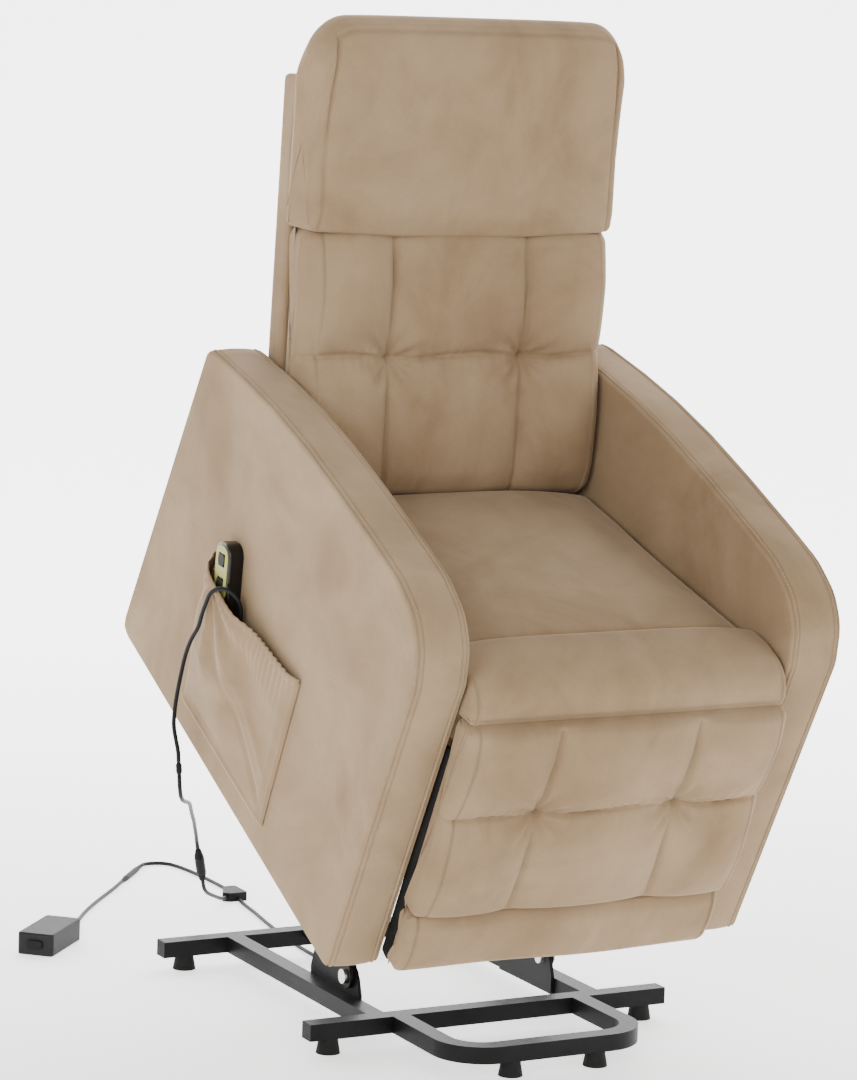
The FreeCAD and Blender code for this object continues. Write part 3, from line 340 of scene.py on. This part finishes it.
def normals(p):
    """Outward directions at the points of a closed outline."""
    t = np.roll(p, -1, 0) - np.roll(p, 1, 0)
    n = np.stack([t[:, 1], -t[:, 0]], -1)
    n /= np.linalg.norm(n, axis=1)[:, None] + 1e-12
    twice_area = np.sum(p[:, 0] * np.roll(p[:, 1], -1) - np.roll(p[:, 0], -1) * p[:, 1])
    return n if twice_area > 0 else -n


def x_samples(half, edge, step, fine, fine_step):
    """Stations along x: even steps, a finer zone near each end, and the end's own round."""
    inner = half - edge
    arc = [half - edge + edge * math.sin(a) for a in np.linspace(0, math.pi / 2, 7)]
    inner_zone = inner - fine
    xs = list(np.linspace(-inner_zone, inner_zone, max(2, int(2 * inner_zone / step))))
    if fine:
        close = list(np.arange(inner_zone + fine_step, inner - fine_step * 0.5, fine_step))
        xs = [-c for c in reversed(close)] + xs + close
    return np.array([-a for a in reversed(arc)] + xs + arc)


def no_shape(*_):
    """A pillow's outline left as it is."""
    return 0.0


def pillow(name, profile, half, place, body, shape, edge, step, centre=0.0, cap_crown=0.001,
           fine=0.0, fine_step=0.001, mat=VELVET, rings=9):
    """Closed form: the outline carried along x, rounded at both ends, with crowned end faces.

    shape(x, p, n) says how far the outline's points p move out along their normals n at x.
    """
    n = normals(profile)
    xs = x_samples(half, edge, step, fine, fine_step)
    m = len(profile)
    grid = []
    for x in xs:
        over = max(0.0, abs(x) - (half - edge))
        inset = edge - math.sqrt(max(0.0, edge ** 2 - over ** 2))
        move = shape(x, profile, n) - inset
        q = profile + n * np.reshape(move * np.ones(m), (m, 1))
        grid.append(place(x + centre, q[:, 0], q[:, 1]))
    verts = [v for row in grid for v in row]
    faces = []
    for i in range(len(xs) - 1):
        for j in range(m):
            k = (j + 1) % m
            faces.append((i * m + j, i * m + k, (i + 1) * m + k, (i + 1) * m + j))
    mid = profile.mean(0)
    for end, first in ((-1, 0), (1, (len(xs) - 1) * m)):
        move = shape(end * half, profile, n) - edge
        q0 = profile + n * np.reshape(move * np.ones(m), (m, 1))
        ring = first
        for r in range(1, rings + 1):
            f = (r / (rings + 0.6)) ** 1.25
            q = mid + (q0 - mid) * (1 - f)
            bulge = cap_crown * (1 - (1 - f) ** 6)
            start = len(verts)
            verts += list(place(end * (half + bulge) + centre, q[:, 0], q[:, 1]))
            for j in range(m):
                k = (j + 1) % m
                quad = (ring + j, start + j, start + k, ring + k)
                faces.append(quad if end < 0 else quad[::-1])
            ring = start
        verts.append(place(end * (half + cap_crown) + centre, mid[0], mid[1]))
        for j in range(m):
            k = (j + 1) % m
            tri = (ring + j, len(verts) - 1, ring + k)
            faces.append(tri if end < 0 else tri[::-1])
    return mesh_object(name, verts, faces, mat, body)


def tube_faces(rings, sides):
    """Faces of a closed tube of rings with the same number of points each."""
    faces = []
    for i in range(rings - 1):
        for k in range(sides):
            j = (k + 1) % sides
            faces.append((i * sides + k, i * sides + j, (i + 1) * sides + j, (i + 1) * sides + k))
    faces.append(tuple(reversed(range(sides))))
    faces.append(tuple((rings - 1) * sides + k for k in range(sides)))
    return faces


def groove(d, width, depth):
    """Sunk line at distance d from its middle."""
    return -depth * np.exp(-(d / width) ** 2)


def puff(t, power=2.6):
    """0 at both ends of a panel and 1 in its middle, for t from 0 to 1."""
    t = np.clip(t, 0, 1)
    return 1 - np.abs(2 * t - 1) ** power


def resample(path, gap):
    """Points at even distances along a line."""
    d = np.linalg.norm(np.diff(path, axis=0), axis=1)
    s = np.concatenate([[0], np.cumsum(d)])
    at = np.arange(0, s[-1], gap)
    return np.stack([np.interp(at, s, path[:, i]) for i in range(3)], -1)


STITCH_LONG, STITCH_GAP, STITCH_RADIUS = 0.0042, 0.0066, 0.00055


def stitches(name, paths, body):
    """Short raised threads along lines in the row frame."""
    verts, faces = [], []
    for path in paths:
        pts = resample(path, STITCH_GAP)
        for i in range(len(pts) - 1):
            a, b = pts[i], pts[i + 1]
            way = b - a
            far = np.linalg.norm(way)
            if far < 1e-5:
                continue
            way = way / far
            b = a + way * STITCH_LONG
            side = np.cross(way, [0.3, 0.2, 1.0])
            side /= np.linalg.norm(side)
            top = np.cross(side, way)
            start = len(verts)
            for t, r in ((0, 0.35), (0.25, 1), (0.75, 1), (1, 0.35)):
                c = a + (b - a) * t
                for k in range(6):
                    ang = k * math.pi / 3
                    out = side * math.cos(ang) + top * math.sin(ang)
                    verts.append(c + out * STITCH_RADIUS * r)
            for ring in range(3):
                for k in range(6):
                    p, q = start + ring * 6 + k, start + ring * 6 + (k + 1) % 6
                    faces.append((p, q, q + 6, p + 6))
            faces.append(tuple(start + k for k in reversed(range(6))))
            faces.append(tuple(start + 18 + k for k in range(6)))
    return mesh_object(name, verts, faces, THREAD, body)


# ------------------------------------------------------------------ arms
# Outlines are u, v points of the chair's frame, or b, h of the back's, in mm.
ARM = [(24, 0), (824, 0), (845, 6), (848, 25), (792, 541), (782, 551), (760, 557), (658, 576),
       (560, 590), (450, 599), (330, 602), (200, 602), (120, 600), (60, 584), (24, 552), (7, 500),
       (8, 470)]
ARM_HALF = (ARM_OUTER - ARM_INNER) / 2
ARM_ROUNDING = [14, 16, 16, 16, 14, 10, 40, 200, 200, 200, 200, 200, 120, 80, 70, 60, 60]
# Distances of the border's two seams and its stitches from the arm's faces.
ARM_SEAM, ARM_SECOND_SEAM, STITCH_LINE = 0.0055, 0.0120, 0.0087
STITCH_RAISE = 0.0022
arm_line = rounded(ARM, ARM_ROUNDING, 0.007)


def arm_shape(x, p, n):
    """Crowned strip between two sewn borders; the underside stays flat."""
    a = abs(x)
    border = 0.0009 * np.clip((a - (ARM_HALF - 0.0125)) / 0.002, 0, 1)
    crown = 0.0035 * puff((x / ARM_HALF + 1) / 2, 2)
    above = np.where(n[:, 1] < -0.8, 0.0, 1.0)
    return ((crown + border) * above + groove(a - (ARM_HALF - ARM_SEAM), 0.0013, 0.0034)
            + groove(a - (ARM_HALF - ARM_SECOND_SEAM), 0.0010, 0.0016))


for side, sign in (("left", 1), ("right", -1)):
    middle = sign * (ARM_INNER + ARM_HALF)
    arm = pillow("arm_%s_cover" % side, arm_line, ARM_HALF, chair, "chair", arm_shape, edge=0.006,
                 step=0.006, centre=middle, cap_crown=0.0035, fine=0.014, fine_step=0.0008,
                 rings=16)
    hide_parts("arm_" + side)
    raised = arm_line + normals(arm_line) * STITCH_RAISE
    lines = [chair(middle + end * (ARM_HALF - STITCH_LINE), raised[:, 0], raised[:, 1])
             for end in (-1, 1)]
    stitches("arm_%s_stitches" % side, lines, "chair")

# ------------------------------------------------------------------ seat
SEAT = [(114, 386), (600, 324), (600, 392), (574, 412), (480, 432), (370, 449), (250, 467),
        (114, 486)]
SEAT_HALF = 0.2535


def seat_shape(x, p, n):
    """Crowned top, highest in the middle, with a slow wave."""
    a = abs(x) / SEAT_HALF
    up = np.clip(n[:, 1], 0, 1)
    crown = (0.026 - 0.034 * a ** 3) * up
    along = puff((p[:, 0] - 0.114) / 0.486, 2.5)
    return crown * (0.55 + 0.45 * along) + 0.004 * up * np.sin(p[:, 0] * 9 + x * 5)


seat = pillow("seat_cushion_cover", rounded(SEAT, [10, 10, 22, 30, 60, 80, 80, 10], 0.006),
              SEAT_HALF, chair, "chair", seat_shape, edge=0.022, step=0.007, cap_crown=0.002)
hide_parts("seat_cushion")

BOLSTER = [(16, 400), (113, 397), (113, 486), (98, 498), (60, 505), (22, 503), (-2, 492),
           (-15, 474), (-20, 460), (-19, 450), (16, 448)]
BOLSTER_ROUNDING = [6, 6, 10, 40, 60, 50, 34, 20, 5, 4, 3]


def bolster_shape(x, p, n):
    """Soft front roll over a seam along its lower edge."""
    a = abs(x) / SEAT_HALF
    high = np.clip((p[:, 1] - 0.450) / 0.03, 0, 1)
    up = np.clip(n[:, 1] * 0.9 + np.clip(-n[:, 0], 0, 1) * 0.45, 0, 1) * high
    seam = groove(np.hypot(p[:, 0] + 0.020, p[:, 1] - 0.457), 0.003, 0.003)
    dimple = 0.0015 * np.sin(x * 26 + 1) * np.clip(-n[:, 0], 0, 1) * high
    return (0.013 - 0.014 * a ** 5) * up + seam + dimple


bolster = pillow("seat_bolster_cover", rounded(BOLSTER, BOLSTER_ROUNDING, 0.0035), SEAT_HALF,
                 chair, "chair", bolster_shape, edge=0.009, step=0.006, cap_crown=0.002)
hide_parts("seat_bolster")

# ------------------------------------------------------------------ back
TUFT_X = 0.112  # x of the two upright channels
BACK_HALF = 0.2545


def tufted(x, up, bottom, seam, top, w, half, height, pinch):
    """Six panels puffed between two upright channels and a level one, pinched where they cross.

    up is the way up the panel, from bottom to top past the level seam; w is where it applies.
    """
    edges = [-half, -TUFT_X, TUFT_X, half]
    column = 0 if x < -TUFT_X else (1 if x < TUFT_X else 2)
    across = (x - edges[column]) / (edges[column + 1] - edges[column])
    line = seam + 0.0035 * math.sin(x * 28 + 0.6)
    along = np.where(up < line, (up - bottom) / (line - bottom), (up - line) / (top - line))
    hill = puff(across, 2.1) ** 0.72 * puff(along, 2.1) ** 0.72
    dx = abs(x) + 0.0022 * np.sin(up * 31 + np.sign(x)) - TUFT_X
    dy = up - line
    r = np.hypot(dx, dy)
    ang = np.arctan2(dy, dx)
    folds = 0.0034 * np.cos(8 * ang + 0.8 * np.sign(x)) * np.exp(-((r - 0.030) / 0.024) ** 2)
    pucker = 0.0011 * math.sin(x * 330 + 3 * math.sin(x * 41)) * np.exp(-(dy / 0.020) ** 2)
    cut = groove(dx, 0.0030, 0.0042) + groove(dy, 0.0032, 0.0050)
    return (height * hill - pinch * np.exp(-r / 0.020) + folds + pucker + cut) * w


BACK = [(-36, 72), (-36, 482), (-84, 482), (-98, 466), (-106, 400), (-104, 300), (-104, 290),
        (-108, 200), (-106, 120), (-100, 92), (-84, 72)]
BACK_ROUNDING = [4, 4, 12, 20, 60, 60, 60, 60, 40, 20, 16]


def back_shape(x, p, n):
    h = p[:, 1]
    front = np.clip(-n[:, 0], 0, 1) ** 0.5
    w = front * np.clip((h - 0.070) / 0.016, 0, 1) * np.clip((0.482 - h) / 0.012, 0, 1)
    return tufted(x, h, 0.074, 0.293, 0.486, w, BACK_HALF, 0.026, 0.013)


cushion = pillow("back_cushion_cover", rounded(BACK, BACK_ROUNDING, 0.0035), BACK_HALF, back,
                 "back", back_shape, edge=0.022, step=0.0036)
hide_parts("back_cushion")

HEAD = [(-36, 478), (-36, 738), (-64, 790), (-92, 791), (-114, 774), (-120, 740), (-112, 650),
        (-108, 590), (-112, 505), (-104, 478)]
HEAD_ROUNDING = [6, 40, 30, 22, 30, 60, 90, 60, 20, 9]
HEAD_HALF, HEAD_TOP = 0.2635, 0.792
CORNER_WIDE, CORNER_TALL = 0.055, 0.068


def head_shape(x, p, n):
    """Crowned front inside a framing seam."""
    a, h = abs(x) / HEAD_HALF, p[:, 1]
    front = np.clip(-n[:, 0], 0, 1)
    crown = 0.013 * puff((h - 0.47) / 0.32, 2.4) ** 0.7 * (1 - a ** 4) * front
    reach = np.clip((h - 0.60) / 0.19, 0, 1)
    border = np.minimum(HEAD_HALF - abs(x) - 0.013 - 0.012 * reach ** 2, 0.772 - h)
    seam = groove(border, 0.0026, 0.0055) * front
    lift = np.clip(h - 0.50, 0, 1) * np.clip(n[:, 1], 0, 1) * 0.020
    return crown + seam - lift * a ** 6


def headrest_place(x, b, h):
    """Draws the upper corners in to a round, narrows the front and lets its lower edge sag."""
    b, h = np.asarray(b, float), np.asarray(h, float)
    past = min(1.0, max(0.0, abs(x) - (HEAD_HALF - CORNER_WIDE)) / CORNER_WIDE)
    drop = CORNER_TALL * (1 - math.sqrt(1 - past ** 2))
    squeeze = np.clip((h - 0.56) / (HEAD_TOP - 0.56), 0, 1.05) ** 1.3
    sag = 0.008 * (1 - (x / HEAD_HALF) ** 2) * np.clip((0.53 - h) / 0.05, 0, 1)
    forward = np.clip((-b - 0.05) / 0.06, 0, 1)
    return back(x * (1 - 0.045 * forward), b, h - drop * squeeze - sag)


head = pillow("headrest_cover", rounded(HEAD, HEAD_ROUNDING, 0.0035), HEAD_HALF, headrest_place,
              "back", head_shape, edge=0.014, step=0.005, cap_crown=0.002, fine=0.012,
              fine_step=0.0014)
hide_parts("headrest")

SHELL = [(-35, -40), (12, -40), (12, 696), (-35, 696)]
shell = pillow("back_shell_cover", rounded(SHELL, [3, 9, 12, 4], 0.008), BACK_HALF, back, "back",
               no_shape, edge=0.006, step=0.01)
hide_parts("back_shell")

# ------------------------------------------------------------------ leg rest
PAD = [(12, 120), (12, 447), (-18, 451), (-34, 449), (-39, 400), (-34, 305), (-34, 297),
       (-38, 200), (-34, 136), (-20, 119)]
REST_HALF = 0.2555


def pad_shape(x, p, n):
    v = p[:, 1]
    front = np.clip(-n[:, 0], 0, 1) ** 0.5
    w = front * np.clip((v - 0.119) / 0.012, 0, 1) * np.clip((0.449 - v) / 0.008, 0, 1)
    return tufted(x, v, 0.121, 0.299, 0.456, w, REST_HALF, 0.021, 0.012)


pad = pillow("leg_rest_cover", rounded(PAD, [3, 4, 8, 14, 60, 60, 60, 40, 16, 10], 0.0035),
             REST_HALF, chair, "leg_rest", pad_shape, edge=0.014, step=0.0036)
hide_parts("leg_rest_pad")

ROLL = [(10, 18), (10, 119), (-18, 119), (-26, 100), (-28, 66), (-24, 34), (-14, 18)]


def roll_shape(x, p, n):
    """Plain round front with a slow wave."""
    front = np.clip(-n[:, 0], 0, 1)
    crown = 0.009 * puff((p[:, 1] - 0.016) / 0.103, 2) ** 0.7 * (1 - (abs(x) / REST_HALF) ** 6)
    return (crown + 0.0018 * math.sin(x * 19 + 0.5)) * front


roll = pillow("leg_rest_roll_cover", rounded(ROLL, [2, 2, 8, 20, 30, 16, 8], 0.004), REST_HALF,
              chair, "leg_rest", roll_shape, edge=0.012, step=0.006)
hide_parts("leg_rest_roll")

# Side gussets of dark lining cloth, behind the leg rest's edges.
GUSSET = [(6, 20), (27, 24), (23, 388), (6, 394)]
GUSSET_X, GUSSET_HALF = 0.2518, 0.0035
for side, sign in (("left", 1), ("right", -1)):
    pillow("leg_rest_gusset_" + side, rounded(GUSSET, [5] * 4, 0.008), GUSSET_HALF, chair,
           "leg_rest", no_shape, edge=0.002, step=0.002, centre=sign * GUSSET_X,
           cap_crown=0.0005, mat=LINING, rings=6)

# ------------------------------------------------------------------ pocket
POCKET_X = -ARM_OUTER - 0.0035
POCKET_FRONT, POCKET_LONG, POCKET_BOTTOM = 0.281, 0.325, 0.054
POCKET_REAR = POCKET_FRONT + POCKET_LONG
HEM_TOP, HEM_SAG = 0.309, 0.013
CLOTH, LEAST_DEPTH = 0.0016, 0.0006
HANDSET_U, HANDSET_HALF = 0.512, 0.074


def pocket_depth(u, t):
    """How far the bag stands off the arm at u, t = 0 at its bottom and 1 at its hem."""
    near = 1 / (1 + (np.abs(u - HANDSET_U) / HANDSET_HALF) ** 6)
    side = np.clip(np.minimum(u - POCKET_FRONT, POCKET_REAR - u) / 0.022, 0, 1) ** 0.6
    return (0.0050 + 0.0070 * t ** 1.5 + 0.0205 * near * np.clip(t * 2.4 - 0.2, 0, 1)) * side


def hem_line(fu):
    """Height of the elastic hem across the pocket, fu = 0 at its front and 1 at its rear."""
    return HEM_TOP - HEM_SAG * math.sin(math.pi * fu) ** 0.8


def pocket_folds(fu, t):
    """Gathers under the hem, folds fanning out from the handset, and slack to the front corner."""
    slack = 0.25 + 0.75 * min(1, max(0, (0.60 - fu) * 6))
    gathers = 0.0015 * slack * math.sin(fu * 150 + 1.2 * math.sin(fu * 17)) * t ** 7
    down, away = (1 - t) * 0.79, 0.80 - fu
    reach = math.exp(-((math.hypot(down, away) - 0.30) / 0.24) ** 2)
    fan = 0.0034 * math.sin(10 * math.atan2(down, away)) * reach
    crease = 0.0036 * math.exp(-((t - 0.25 - 0.75 * fu) / 0.05) ** 2) * (1 - t)
    crease -= 0.0034 * math.exp(-((t - 0.05 - 0.85 * fu) / 0.04) ** 2) * (1 - t)
    edge = min(POCKET_LONG * fu, POCKET_LONG * (1 - fu), 0.25 * t)
    seam = 0.0018 * math.exp(-((edge - 0.005) / 0.003) ** 2)
    return (gathers + fan + crease) * min(1, 9 * fu, 9 * (1 - fu)) * min(1, 9 * t) + seam


def pocket_point(fu, t):
    """x, u, v on the pocket's cloth."""
    u = POCKET_FRONT + POCKET_LONG * fu
    depth = float(pocket_depth(u, t)) + pocket_folds(fu, t)
    return (POCKET_X - max(depth, LEAST_DEPTH), u,
            POCKET_BOTTOM + (hem_line(fu) - POCKET_BOTTOM) * t)


def pocket_panel():
    """The pocket's cloth, a sheet with folds."""
    wide, tall = 220, 110
    verts, faces = [], []
    for i in range(wide):
        for j in range(tall):
            verts.append(chair(*pocket_point(i / (wide - 1), j / (tall - 1))))
    for i in range(wide - 1):
        for j in range(tall - 1):
            a = i * tall + j
            faces.append((a, a + 1, a + tall + 1, a + tall))
    obj = mesh_object("side_pocket_cloth", verts, faces, VELVET, None)
    solid = obj.modifiers.new("thick", "SOLIDIFY")
    solid.thickness = CLOTH
    solid.offset = 0
    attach(obj, "chair")
    return obj


def band(name, path, wide, thick):
    """Soft flattened band along points of the chair's frame, wide in v and thick in x."""
    verts, sides = [], 10
    for i, (x, u, v) in enumerate(path):
        ruck = 1 + 0.18 * math.sin(i * 2.1)
        for k in range(sides):
            a = 2 * math.pi * k / sides
            verts.append(chair(x + thick * ruck * math.cos(a), u, v + wide * math.sin(a)))
    return mesh_object(name, verts, tube_faces(len(path), sides), VELVET, "chair")


pocket = pocket_panel()
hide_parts("side_pocket")
hem_path = [pocket_point(fu, 1.0) for fu in np.linspace(0.004, 0.996, 160)]
hem = band("pocket_hem_band", hem_path, 0.0065, 0.0022)
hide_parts("pocket_hem")


# ------------------------------------------------------------------ cords
def route(points):
    """Dense line of straight runs joined by tangent arcs; corners in mm, line in the row frame."""
    pts = [Vector(p) for p in room(*np.array(points, float).T / 1000)]
    runs = [(pts[i + 1] - pts[i]).length for i in range(len(pts) - 1)]
    out = [pts[0]]
    for i in range(1, len(pts) - 1):
        a, b = (pts[i] - pts[i - 1]).normalized(), (pts[i + 1] - pts[i]).normalized()
        turn = a.angle(b)
        trim = 0.45 * min(runs[i - 1], runs[i])
        if turn < math.radians(0.5):
            continue
        bend = trim / math.tan(turn / 2)
        way = (b - a).normalized()
        centre = pts[i] + way * math.hypot(trim, bend)
        s, e = pts[i] - a * trim - centre, pts[i] + b * trim - centre
        steps = max(2, int(bend * turn / 0.003))
        for k in range(steps + 1):
            t = k / steps
            p = (s * math.sin((1 - t) * turn) + e * math.sin(t * turn)) / math.sin(turn)
            out.append(centre + p)
    out.append(pts[-1])
    dense = [out[0]]
    for a, b in zip(out, out[1:]):
        m = max(1, int((b - a).length / 0.004))
        dense += [a.lerp(b, k / m) for k in range(1, m + 1)]
    keep = [dense[0]]
    for p in dense[1:]:
        if (p - keep[-1]).length > 0.0008:
            keep.append(p)
    return keep


def tube(name, path, radius, mat, body, sides=14, swell=None):
    """Closed tube along a line; swell(t) scales its radius from t = 0 to 1."""
    verts = []
    normal = (path[1] - path[0]).normalized().orthogonal().normalized()
    for i, p in enumerate(path):
        way = (path[min(i + 1, len(path) - 1)] - path[max(i - 1, 0)]).normalized()
        normal = (normal - way * normal.dot(way)).normalized()
        other = way.cross(normal)
        r = radius * (swell(i / (len(path) - 1)) if swell else 1)
        for k in range(sides):
            a = 2 * math.pi * k / sides
            verts.append(p + (normal * math.cos(a) + other * math.sin(a)) * r)
    return mesh_object(name, verts, tube_faces(len(path), sides), mat, body)


# Corner points of each cord in the working axes, mm. LOW is the middle of a cord on the floor.
THICK = 6.5
LOW = THICK / 2 + 0.4
ROUTES = {
    "handset_cord_upper": [
        (-354, 331.4, 559), (-354, 333.5, 542.1), (-354, 327.9, 528.8), (-354, 316.3, 520.3),
        (-354, 302, 518.6), (-354, 288.8, 524.4), (-354, 280.4, 536.1), (-354, 277.8, 563.1),
        (-354, 275.3, 590.1), (-354, 273.2, 612.9), (-354, 270.5, 631), (-358.4, 270.3, 645.3),
        (-366.1, 276.3, 656.6), (-374.9, 287.1, 661.9), (-382.6, 299.7, 659.7),
        (-387, 310.9, 650.8), (-386, 324, 635.5), (-385, 340.8, 614.8), (-382, 356, 595),
        (-383, 380, 572),
        (-383, 398, 547), (-382, 413, 518), (-381, 427, 488), (-380, 438, 458), (-379, 443, 430),
        (-375, 441, 408), (-371.75, 439.6, 391.4), (-370, 441, 376)],
    "handset_cord_lower": [
        (-367.5, 443, 354), (-365.5, 444.6, 336.4), (-359, 455, 320), (-346, 477, 308),
        (-328, 508, 298), (-306, 545, 288), (-284, 586, 276), (-262, 630, 260), (-239, 677, 242),
        (-215, 724, 222), (-191, 770, 202), (-169, 814, 181), (-150, 850, 161),
        (-135.07, 878.93, 141.77), (-130, 884, 126)],
    "handset_cord_tail": [
        (-112, 902, 70), (-106.73, 907.27, 53.6), (-94, 922, 42), (-78, 939, 33), (-62, 957, 25),
        (-47, 975, 17), (-32, 993, 10.5), (-17, 1010, 7.5)],
    "trunk_cord": [
        (-42, 607, 36), (-42, 607, 16.6), (-42, 620, LOW), (-42, 640, LOW), (-41, 670, LOW),
        (-38, 710, LOW), (-33, 760, LOW), (-26, 813, LOW), (-18, 866, LOW), (-10, 914, LOW),
        (-4, 963, LOW), (0, 985, LOW), (4, 1005.4, LOW)],
    "supply_cord_a": [
        (12, 1056, LOW), (14, 1076, LOW), (15, 1116, LOW), (14, 1163, LOW), (12, 1203, LOW),
        (8.5, 1236, LOW), (4.3, 1260.7, LOW), (-1.6, 1279.8, LOW), (-10.6, 1289.8, LOW),
        (-23, 1295.1, LOW), (-36.5, 1294.7, 3.9), (-48.6, 1288.7, 4.6), (-58, 1277, 5)],
    "supply_cord_b": [
        (-136, 1180, 5), (-146, 1167.5, 5), (-162, 1148, 4.2), (-187, 1119, LOW), (-220, 1080, LOW),
        (-252, 1040, LOW), (-281, 1001, LOW), (-305, 964, LOW), (-321, 936, 5.2), (-334, 913, 10),
        (-343.5, 897, 15), (-352.7, 885.05, 18), (-363.8, 873.5, 18)],
}


def connector(name, ends, radius, node, body="base", ribs=True):
    """Turned moulding between two cord ends, with ribbed tapering strain reliefs."""
    a, b = (Vector(p) for p in room(*np.array(ends, float).T / 1000))
    path = [a.lerp(b, t) for t in np.linspace(0, 1, 90)]

    def swell(t):
        e = min(t, 1 - t)
        taper = 1.0 if e > 0.24 else 0.56 + 0.40 * (e / 0.24) ** 1.2
        rib = 0.07 * math.sin(e * 170) if ribs and 0.03 < e < 0.22 else 0.0
        return taper + rib

    piece = tube(name, path, radius, BLACK, body, 20, swell)
    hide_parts(node)
    return piece


plug = connector("handset_plug_body", [(-130, 884, 126), (-112, 902, 70)], 0.008, "handset_plug")
sleeve = connector("cord_sleeve_body", [(-370, 441, 376), (-367.5, 443, 354)], 0.0046,
                   "cord_sleeve", body="chair", ribs=False)
coupler = connector("supply_connector_body", [(-58, 1277, 5), (-136, 1180, 5)], 0.005,
                    "supply_connector")
# body, far end, pieces at the ends, how it lies
CORDS = {
    "handset_cord_upper": ("chair", "connector", [sleeve], "hanging"),
    "handset_cord_lower": ("base", "plug", [plug], "hanging"),
    "handset_cord_tail": ("base", "object", [], "loose"),
    "trunk_cord": ("base", "connector", ["cord_splitter"], "loose"),
    "supply_cord_a": ("base", "connector", [coupler], "loose"),
    "supply_cord_b": ("base", "connector", ["power_supply_case", "power_inlet"], "loose"),
}
for name, (body, far_end, pieces, lay) in CORDS.items():
    path = route(ROUTES[name])
    piece = tube(name + "_line", path, THICK / 2000, VINYL, body)
    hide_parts(name)
    if name in ("handset_cord_lower", "handset_cord_tail"):
        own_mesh(piece)
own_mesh(plug)

# ------------------------------------------------------------------ floor
FLOOR_REACH, SWEEP_START, SWEEP_RADIUS, WALL_TOP = 14.0, 3.0, 4.0, 12.0
AHEAD = (math.sin(CAMERA_YAW), math.cos(CAMERA_YAW), 0)


def backdrop():
    """Level floor that sweeps up into a wall far behind the chair."""
    ahead = np.array(AHEAD[:2])
    aside = np.array([ahead[1], -ahead[0]])
    line = [(-FLOOR_REACH, 0.0), (-6.0, 0.0), (0.0, 0.0), (SWEEP_START, 0.0)]
    line += [(SWEEP_START + SWEEP_RADIUS * math.sin(a), SWEEP_RADIUS * (1 - math.cos(a)))
             for a in np.linspace(0.05, math.pi / 2, 30)]
    line.append((SWEEP_START + SWEEP_RADIUS, WALL_TOP))
    verts, faces = [], []
    for far, z in line:
        for side in (-FLOOR_REACH, FLOOR_REACH):
            verts.append((*(ahead * far + aside * side), z))
    for i in range(len(line) - 1):
        faces.append((2 * i, 2 * i + 1, 2 * i + 3, 2 * i + 2))
    data = bpy.data.meshes.new("floor")
    data.from_pydata(verts, [], faces)
    data.polygons.foreach_set("use_smooth", [True] * len(data.polygons))
    sweep = bpy.data.objects.new("floor", data)
    bpy.context.scene.collection.objects.link(sweep)
    return sweep


floor = backdrop()
# The floor glows a little near the chair and more with distance, up to a white wall.
GLOW = {"From Min": -1.5, "From Max": 3.5, "To Min": 0.35, "To Max": 3.4}
pale, shader = material("pale_floor", 0.7)
shader.inputs["Emission Color"].default_value = (1, 1, 1, 1)
where = add(pale, "ShaderNodeTexCoord")
away = add(pale, "ShaderNodeVectorMath")
away.operation = "DOT_PRODUCT"
away.inputs[1].default_value = AHEAD
glow = add(pale, "ShaderNodeMapRange", **GLOW)
pale.node_tree.links.new(where.outputs["Object"], away.inputs[0])
pale.node_tree.links.new(away.outputs["Value"], glow.inputs["Value"])
pale.node_tree.links.new(glow.outputs["Result"], shader.inputs["Emission Strength"])
tone = ramp(pale, noise(pale, 0.6, 3).outputs["Fac"], [(0.3, (0.90,) * 3), (0.7, (0.93,) * 3)])
pale.node_tree.links.new(tone.outputs["Color"], shader.inputs["Base Color"])
floor.data.materials.append(pale)
